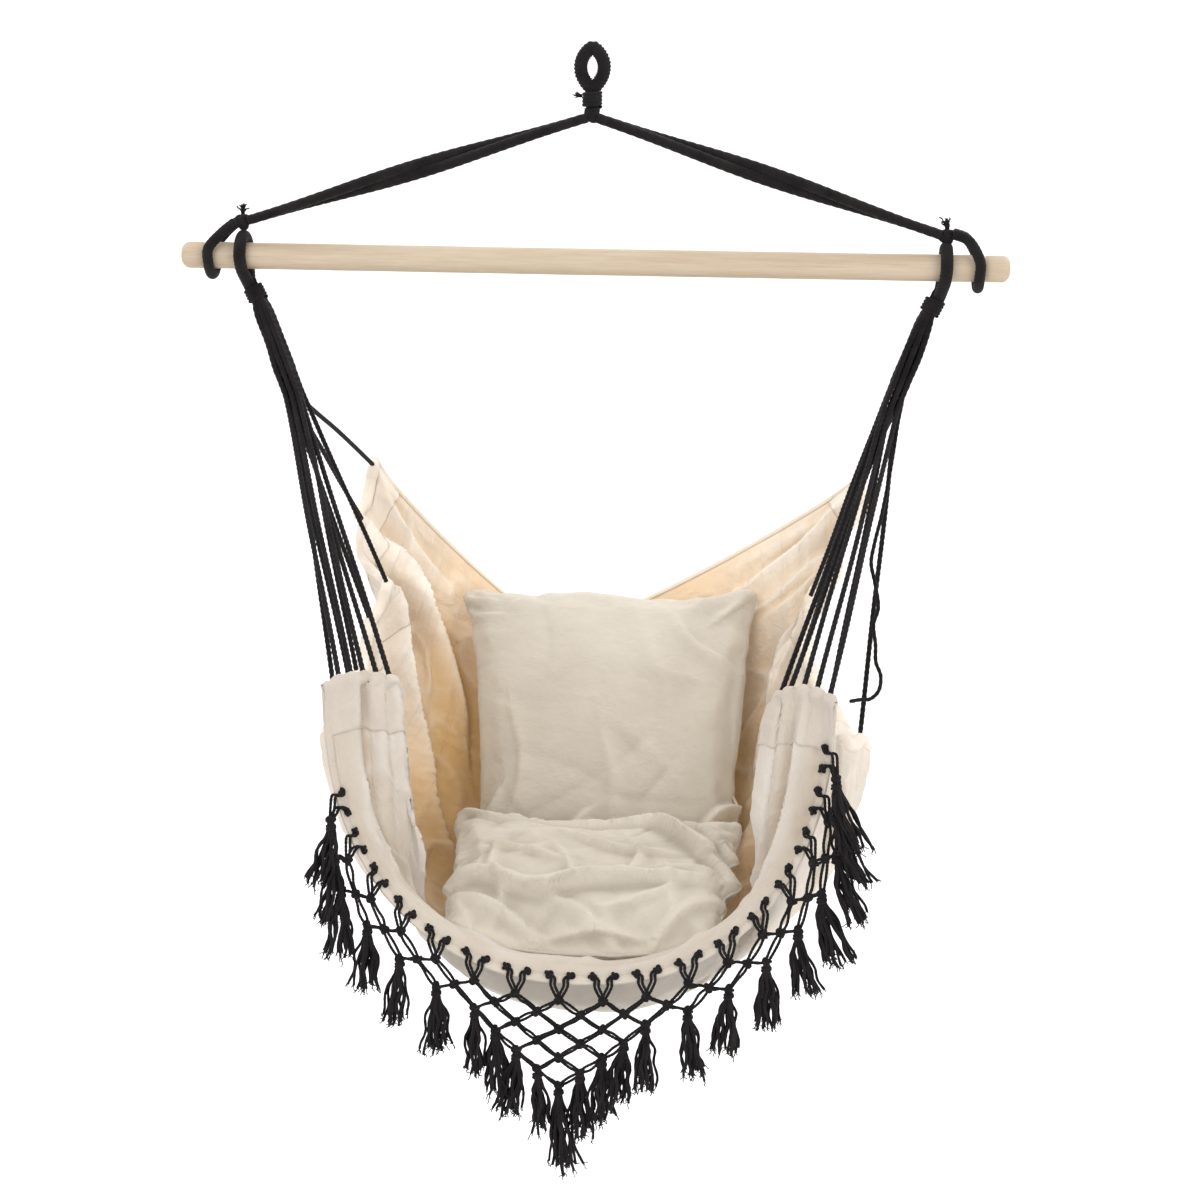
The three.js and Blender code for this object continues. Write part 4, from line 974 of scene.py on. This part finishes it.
# Knotted fringe
NET_PITCH, NET_LEAD, NET_STRAND = 50.0, 23.0, 31.0
NET_OFFSET, NET_EDGE_GAP, NET_CORD, NET_KNOT = 15.0, 0.75, 2.3, 4.2
SIDE_ROWS, CENTRE_ROWS, CENTRE_REACH = 3, 7, 4
OUTER_KNOTS = {"left": 14, "right": 18}
SIDE_LEAN, NET_YARN, EYELET_DEPTH = 6.5, 1.85, 9
TASSEL, LONG_TASSEL, TASSEL_STRANDS, TASSEL_STEPS = 74.0, 1.33, 19, 26
TASSEL_TIES = ((6.5, (0.1, 0.1, 1), 4.6), (9.0, (-0.1, 0.05, 1), 4.9))
TIE_YARN, FRAY_YARN = 1.7, 0.6


def net_exists(row, q):
    if (row + q) % 2 == 0:
        return False
    outer = OUTER_KNOTS["left" if q < 0 else "right"]
    return abs(q) <= (outer + 1 - row if row <= SIDE_ROWS else CENTRE_ROWS - row)


def net_region(q):
    return "left" if q < -CENTRE_REACH else "right" if q > CENTRE_REACH else "centre"


def add_tassel(pile, place, row, q):
    """Strands that hang from an open knot of the net, tied twice under it."""
    length = TASSEL * (LONG_TASSEL if row == CENTRE_ROWS else 1) * rng.uniform(0.98, 1.08)
    outer = abs(q) / 16
    lean = np.array([(20 if q > 0 else -5) * outer**2 + rng.normal(0, 4), -3 - 5 * outer, 0])
    for drop, axis, radius in TASSEL_TIES:
        a = np.linspace(0, TAU, 30)
        axis = unit(axis)
        across = unit(np.cross(axis, [0.3, 0.2, 1]))
        ring = np.cos(a)[:, None] * across + np.sin(a)[:, None] * np.cross(axis, across)
        pile.tube(place + DOWN * drop + radius * ring + np.outer(np.linspace(-1.4, 1.4, 30), axis), TIE_YARN, "tie")
    t = np.linspace(0, 1, TASSEL_STEPS)[:, None]
    for _ in range(TASSEL_STRANDS):
        a, r = rng.uniform(0, TAU), math.sqrt(rng.uniform(0, 1))
        round_way = np.array([math.cos(a), math.sin(a), 0])
        path = place + DOWN * 3 + 3.2 * r * round_way + DOWN * (length - 3) * rng.uniform(0.85, 1.0) * t
        path = path + r * round_way * (8.5 * smooth_step(0.05, 0.5, t) + 6.5 * t**2) + lean * t**1.5
        path = path + rng.normal(0, 2.4, 3) * [1, 1, 0] * t**2
        for way in ACROSS:
            swing = np.sin(TAU * rng.uniform(1.0, 2.2) * t + rng.uniform(0, TAU))
            path = path + 1.7 * swing * smooth_step(0.05, 0.4, t) * way
        pile.tube(path, np.linspace(1.95, 1.75, TASSEL_STEPS), "tassel")
        for _ in range(3):
            end = wavy(path[-2], path[-1] - path[-4], rng.uniform(4, 8), rng.normal(0, 2.2, 3), 0.8, 6)
            pile.tube(end, FRAY_YARN, "thread")


def make_fringe(grid):
    edge = grid[0]
    run = lengths(edge)
    inward_line = np.array([along_line(grid[:30, i], EYELET_DEPTH) for i in range(grid.shape[1])])
    normal_line = surface_normals(grid[:3])[0]

    def edge_at(line, arc):
        return along_line(line, 0.5 * run[-1] + arc - NET_OFFSET, run)

    def eyelet(arc):
        forward = 8 * float(smooth_step(0.15, 0.42, abs((arc - NET_OFFSET) / run[-1])))
        return edge_at(edge, arc) + np.array([0, -NET_EDGE_GAP - NET_CORD - forward, 0])

    knots = {}
    for row in range(1, CENTRE_ROWS + 1):
        for q in range(-OUTER_KNOTS["left"], OUTER_KNOTS["right"] + 1):
            if not net_exists(row, q):
                continue
            arc = q * NET_PITCH / 2
            holes = [arc - NET_PITCH / 4, arc + NET_PITCH / 4]
            above = [eyelet(hole) for hole in holes] if row == 1 else [knots[row - 1, q + k][0] for k in (-1, 1)]
            strand = NET_LEAD if row == 1 else NET_STRAND
            half = np.linalg.norm(above[0] - above[1]) / 2
            place = (above[0] + above[1]) / 2 + DOWN * math.sqrt(max(strand**2 - half**2, NET_KNOT**2))
            place = place + np.array([math.copysign(SIDE_LEAN, q) * float(smooth_step(5, 15, abs(q))), 0, 0])
            knots[row, q] = place, above, holes

    def lead(hole_arc, knot_arc, place, shift, target):
        """A strand out of its hole, over the edge of the canvas and down to its knot."""
        nearer = hole_arc + 0.4 * (knot_arc - hole_arc)
        hole, n, lip = edge_at(inward_line, hole_arc), edge_at(normal_line, hole_arc), edge_at(edge, nearer)
        inwards = unit(edge_at(inward_line, nearer) - lip)
        below = lip - inwards * 2.8
        points = [hole - n * 2.5 + shift, hole + n * 2.6 + shift, lip + inwards * 4 + n * 3.2 + shift,
                  below + n * 0.6 + shift, (below + place) / 2 + shift, place + shift * 0.5]
        if shift[0] > 0:
            add_knot(target, hole + n * 2.6, 6.0, 2.1, n + rng.normal(0, 0.25, 3), rng.uniform(0, TAU))
        return evenly(through(points, 10), 1.3)

    piles = {region: Pile() for region in ("left", "centre", "right")}
    for (row, q), (place, above, holes) in knots.items():
        pile = piles[net_region(q)]
        add_knot(pile, place, 6.8, 2.0, (rng.normal(0, 0.25), 1, rng.normal(0, 0.25)), rng.uniform(0, TAU))
        add_knot(pile, place + rng.normal(0, 0.5, 3), 5.4, 1.95, (1, rng.normal(0, 0.5), 0.3), rng.uniform(0, TAU))
        for i, upper in enumerate(above):
            target = piles[net_region(q if row == 1 else q + (-1, 1)[i])]
            for apart in (-2.3, 2.3):
                shift = np.array([apart, rng.normal(0, 0.5), 0])
                if row == 1:
                    line = lead(holes[i], q * NET_PITCH / 2, place, shift, target)
                else:
                    start, end = upper + shift * 0.6, place + shift * 0.6
                    loose = shift * rng.uniform(0.2, 0.9)
                    first = start * 0.68 + end * 0.32 + loose + rng.normal(0, 0.8, 3)
                    second = start * 0.32 + end * 0.68 + loose + rng.normal(0, 0.8, 3)
                    line = evenly(through([start, first, second, end], 10), 1.4)
                target.tube(line, NET_YARN, "net", rng.uniform(0, TAU))
        if not (net_exists(row + 1, q - 1) and net_exists(row + 1, q + 1)):
            add_tassel(pile, place, row, q)
    for region, pile in piles.items():
        pile.rope(f"macrame_{region}", "seat", f"fringe_{region}")


# Cushions
# Creases on the cushions' upper faces: tables of folds, a whole being 100
CREASES = {
    "back_cushion": [
        (7, 3, 14,  60, 84, 81, 92, 97, 99),
        (5, 3, 12,  96, 97, 85, 84, 72, 70),
        (3.5, 4, 16,  45, 74, 60, 52, 85, 40),
        (9, 4, 20,  62, -86, 76, -63, 90, -52, 100, -40),
        (6, 3, 12,  84, -72, 92, -60, 100, -52),
        (8, 4, 18,  -45, -76, -30, -82, -16, -78, -5, -68),
        (6, 3, 13,  -100, 98, -90, 86, -76, 84),
        (4, 3, 12,  -97, 84, -86, 74, -70, 72),
        (4, 5, 22,  -66, 80, -39, 90, -6, 92, 30, 86),
        (3, 5, 24,  -56, -76, -50, -36, -60, 5),
        (2.5, 5, 24,  12, -80, 10, -50, 0, -12),
        (3, 6, 26,  90, -30, 86, 10, 90, 50),
        (5, 4, 14,  -90, -80, -70, -70, -62, -52),
    ],
    "seat_cushion": [
        (12, 6, 26,  100, -60, 90, -30, 66, 20, 36, 72, -10, 80, -50, 86),
        (14, 6, 24,  92, -34, 44, -34, 4, -35, -36, -50, -72, -40, -95, -46),
        (8, 5, 18,  100, -75, 60, -90, 10, -90, -32, -88, -74, -82, -96, -70),
        (6, 4, 14,  -40, 86, -72, 66, -94, 86),
        (6, 4, 16,  -20, -2, -49, 10, -80, -4),
        (6, 4, 16,  52, 8, 11, 20, -20, 50),
        (7, 4, 16,  100, 4, 86, 24, 59, 70),
        (5, 4, 14,  42, -76, 6, -70, -28, -78),
        (5, 4, 14,  97, -36, 65, -20, 40, -16),
        (4, 4, 14,  -50, -66, -64, -20, -60, 30),
        (3.5, 4, 14,  20, -30, 30, 10, 16, 60),
        (4, 4, 13,  -10, -34, -14, -10, -30, 30),
        (5, 4, 15,  -98, -52, -60, -60, -24, -76),
        (4, 4, 13,  -36, -46, 0, -58, 24, -80),
        (5, 4, 15,  96, -50, 66, -62, 42, -84),
        (4, 3, 11,  60, -40, 34, -52, 12, -56),
        (3, 4, 11,  -80, -62, -70, -80, -72, -95),
    ],
}
CREASE_SCALE = (1.75, 0.8, 0.75)
CUSHION_STEPS, HALF_RIM = 84, 5.0
CLOTH_FRAMES, CLOTH_VOXEL, PUFF_LIMIT = 20, 0.0055, 8
BLOWN = 3.0
SEAM_PUCKER, SEAM_RADIUS, SEAM_TINT, OUTLINE_POINTS = 2.0, 2.2, 0.97, 300


def cushion_arrays(width, length, up, down, front_share, curl):
    """Upper and lower faces of a crowned cushion, in its own frame."""
    s = np.sin(np.linspace(-1, 1, CUSHION_STEPS + 1) * math.pi / 2)
    a, b = np.meshgrid(s, s)
    narrowing = front_share + (1 - front_share) * (b + 1) / 2
    corner = 1 - (0.05 if curl else 0.01) * np.abs(a * b) ** 9
    pull = 0.03 if curl else 0.045
    x = width / 2 * a * narrowing * (1 - pull * (1 - b**2)) * corner
    y = length / 2 * b * (1 - pull * (1 - a**2)) * corner
    lift = curl * a**2
    below = 1.0
    if curl:
        front = smooth_step(-0.4, -1, b)
        y = y + 20 * front
        lift = lift - 15 * front
        below = 1 - 0.85 * smooth_step(0, -1, b)
    else:
        x = x + 7 * (1 - b)
    openness = np.maximum((1 - a**2) * (1 - b**2), 0)
    faces = [np.stack([x, y, lift + HALF_RIM + up * openness**0.5], axis=-1),
             np.stack([x, y, lift - HALF_RIM - down * below * openness**0.7], axis=-1)]
    n, k, last = CUSHION_STEPS + 1, np.arange(CUSHION_STEPS), CUSHION_STEPS
    rims = [rim(c, step, n * n) for c, step in ((k, 1), (k * n + last, n), (last * n + last - k, -1),
                                                ((last - k) * n, -n))]
    return np.vstack([f.reshape(-1, 3) for f in faces]), np.vstack([*layer_faces(n, n), *rims])


def apply_modifier(obj, kind, **values):
    bpy.context.view_layer.objects.active = obj
    modifier = obj.modifiers.new(kind.lower(), kind)
    for key, value in values.items():
        setattr(modifier, key, value)
    bpy.ops.object.modifier_apply(modifier=modifier.name)


def puff_up(obj):
    """Blows the cover up a little with cloth simulation and keeps the wrinkles it gets."""
    apply_modifier(obj, "REMESH", mode="VOXEL", voxel_size=CLOTH_VOXEL)
    rest = np.array([v.co for v in obj.data.vertices])
    cloth = obj.modifiers.new("cloth", "CLOTH")
    for key, value in (("quality", 5), ("use_pressure", True), ("uniform_pressure_force", 4),
                       ("tension_stiffness", 20), ("bending_stiffness", 0.3)):
        setattr(cloth.settings, key, value)
    cloth.settings.effector_weights.gravity = 0
    cloth.point_cache.frame_start, cloth.point_cache.frame_end = 1, CLOTH_FRAMES
    for number in range(1, CLOTH_FRAMES + 1):
        scene.frame_set(number)
    depsgraph = bpy.context.evaluated_depsgraph_get()
    step = np.array([v.co for v in obj.evaluated_get(depsgraph).data.vertices]) - rest
    obj.modifiers.remove(cloth)
    scene.frame_set(1)
    far = np.linalg.norm(step, axis=1)
    step *= np.minimum(1, PUFF_LIMIT * MM / np.maximum(far, 1e-9))[:, None]
    set_points(obj, rest + step)


def rumple(obj, name, half, seed, height):
    """Creases, soft wrinkles over the faces and puckers along the seams, in the cushion's own frame."""
    co, no = points_and_normals(obj)
    u, v = np.clip(co[:, 0] / half[0], -1, 1), np.clip(co[:, 1] / half[1], -1, 1)
    local = np.random.default_rng(seed)
    total = np.zeros(len(co))
    for _ in range(40):
        centre = local.uniform(-1, 1, 2)
        angle = local.uniform(0, math.pi)
        long, wide = local.uniform(0.15, 0.5), local.uniform(0.02, 0.07)
        du, dv = u - centre[0], v - centre[1]
        p = du * math.cos(angle) + dv * math.sin(angle)
        r = -du * math.sin(angle) + dv * math.cos(angle) + 0.25 * p * p * local.normal()
        total += local.uniform(-1, 1) * np.exp(-(p / long) ** 2 - np.abs(r / wide) ** 1.3)
    creases = folds(u, v, half, CREASES[name], 100, CREASE_SCALE) * smooth_step(-0.1, 0.35, no[:, 2])
    rim_share = np.maximum(np.abs(u), np.abs(v))
    along = np.where(np.abs(u) > np.abs(v), v, u)
    pucker = sum(np.sin(along * local.uniform(16, 46) + local.uniform(0, TAU)) / 4 for _ in range(4))
    band = smooth_step(0.7, 0.93, rim_share) * (1 - smooth_step(0.985, 1.0, rim_share))
    shift = height * total * (1 - 0.3 * smooth_step(0.8, 1, rim_share)) + SEAM_PUCKER * pucker * band + creases
    set_points(obj, (co + no * shift[:, None]) * MM)


def paint_valleys(obj, darkness):
    """A tint on the cover: darker in its creases, where less light reaches the cloth."""
    co, no = points_and_normals(obj)
    pairs = np.zeros(2 * len(obj.data.edges), np.int32)
    obj.data.edges.foreach_get("vertices", pairs)
    a, b = pairs.reshape(-1, 2).T
    count = np.bincount(a, minlength=len(co)) + np.bincount(b, minlength=len(co))

    def around(values):
        return (np.bincount(a, values[b], len(co)) + np.bincount(b, values[a], len(co))) / count

    broad = co
    for _ in range(24):
        broad = np.stack([around(broad[:, k]) for k in range(3)], axis=1)
    depth = np.sum((broad - co) * no, axis=1)
    level = np.median(depth)
    depth = around(around(depth))
    shade = 1 - np.clip(darkness * (depth - level), -0.04, 0.25)
    color = shade[:, None] * [1, 1, 1] - np.maximum(1 - shade, 0)[:, None] * [0, 0.06, 0.16]
    tint(obj, np.concatenate([color, np.ones((len(co), 1))], axis=1))


def outer_line(obj):
    """The line round a cushion cover where it reaches furthest out, in the cover's own frame."""
    co = points_and_normals(obj)[0]
    reach = np.hypot(co[:, 0], co[:, 1])
    slot = ((np.arctan2(co[:, 1], co[:, 0]) / TAU + 0.5) * OUTLINE_POINTS).astype(int) % OUTLINE_POINTS
    line = np.array([co[slot == k][np.argmax(reach[slot == k])] for k in range(OUTLINE_POINTS)])
    for axis, span in ((0, 1), (1, 1), (2, 5)):
        line[:, axis] = sum(np.roll(line[:, axis], k) for k in range(-span, span + 1)) / (2 * span + 1)
    return np.vstack([line, line[:1]])


def make_cushion(name, width, length, up, down, front, curl, lean, place, seed, height):
    """A cover blown up by cloth simulation, then creased, with a rolled seam round its rim."""
    blown = BLOWN
    cover = mesh_object(f"{name}_cloth", CUSHION, *cushion_arrays(
        width + 2 * blown, length + 2 * blown, up - blown, down - blown, front, curl))
    puff_up(cover)
    apply_modifier(cover, "SUBSURF", levels=1, render_levels=1)
    rumple(cover, name, (width / 2, length / 2), seed, height)
    paint_valleys(cover, 0.016 * height)
    cover.data.shade_smooth()
    matrix = Matrix.Translation(Vector(place) * MM) @ Matrix.Rotation(math.radians(lean), 4, "X")
    cover.matrix_world = matrix
    dress(cover, name, "cushion_cloth", f"{name}_cover", f"{name}_filling")

    pile = Pile()
    pile.tube(evenly(outer_line(cover) * (0.994, 0.994, 1), 2.0), SEAM_RADIUS, "seam")
    seam = pile.mesh(f"{name}_seam", CUSHION)
    tint(seam, np.full(4 * len(seam.data.vertices), SEAM_TINT))
    seam.matrix_world = matrix
    dress(seam, name, "cushion_cloth")


# Floor, backdrop and light
FLOOR_Z, FLOOR_HALF, FLOOR_DEPTH, COVE, BACKDROP_TOP = -1.95, 9.0, 3.2, 1.6, 7.0
LIGHTS = [
    ("key", (-1.6, -3.4, 1.5), 2.6, 55, (1, 0.99, 0.98)),
    ("fill", (2.6, -2.9, 0.5), 2.4, 50, (0.98, 0.99, 1)),
    ("top", (0.2, 0.2, 2.8), 3.0, 8, (1, 1, 1)),
    ("back", (0.0, 2.6, 0.9), 2.6, 14, (1, 0.96, 0.90)),
    ("paper_left", (-3.2, 1.2, 2.6), 2.5, 85, (1, 1, 1)),
    ("paper_right", (3.2, 1.2, 2.6), 2.5, 85, (1, 1, 1)),
]


def make_studio():
    profile = [(-FLOOR_HALF, FLOOR_Z), (FLOOR_DEPTH, FLOOR_Z)]
    profile += [(FLOOR_DEPTH + COVE * math.sin(a), FLOOR_Z + COVE * (1 - math.cos(a)))
                for a in np.linspace(0, math.pi / 2, 16)]
    profile.append((FLOOR_DEPTH + COVE, BACKDROP_TOP))
    verts = np.array([(x, y, z) for y, z in profile for x in (-FLOOR_HALF, FLOOR_HALF)]) / MM
    quads = np.array([(2 * i, 2 * i + 1, 2 * i + 3, 2 * i + 2) for i in range(len(profile) - 1)])
    s = Shader("studio_paper", 0.9)
    paper = s.noise(s.coordinates(), 90, 2.0)
    paper_color = s.ramp(paper, (0.3, (0.90, 0.90, 0.90)), (0.7, (0.93, 0.93, 0.93)))
    floor = mesh_object("studio_floor", s.finish(paper_color, (paper, 0.0005, 0.1)), verts, quads)
    scene.world = bpy.data.worlds.new("studio")
    scene.world.use_nodes = True
    background = scene.world.node_tree.nodes["Background"]
    background.inputs["Color"].default_value = (1, 1, 1, 1)
    background.inputs["Strength"].default_value = 0.86
    for name, place, size, power, color in LIGHTS:
        data = bpy.data.lights.new(name, "AREA")
        data.shape, data.size, data.energy, data.color = "DISK", size, power, color
        light = bpy.data.objects.new(name, data)
        light.location = place
        aim = Vector((0, 3.5, -1.2)) if name.startswith("paper") else Vector((0, 0, -0.75))
        light.rotation_euler = (aim - Vector(place)).to_track_quat("-Z", "Y").to_euler()
        scene.collection.objects.link(light)
    scene.view_settings.view_transform = "Standard"
    scene.view_settings.look = "None"


make_studio()
make_eye()
make_bar()
for side_name in SIDES:
    make_bridle(side_name)
    make_loop(side_name)
    make_trunk(side_name)
    make_cords(side_name)
    make_hem_cord(side_name)
make_fringe(make_canvas())
make_cushion("back_cushion", width=406, length=404, up=52, down=50, front=0.83, curl=0, lean=50,
             place=(12, 143, -872), seed=21, height=2.6)
make_cushion("seat_cushion", width=374, length=312, up=42, down=125, front=0.87, curl=34, lean=7,
             place=(21, -167, -993), seed=34, height=4.5)
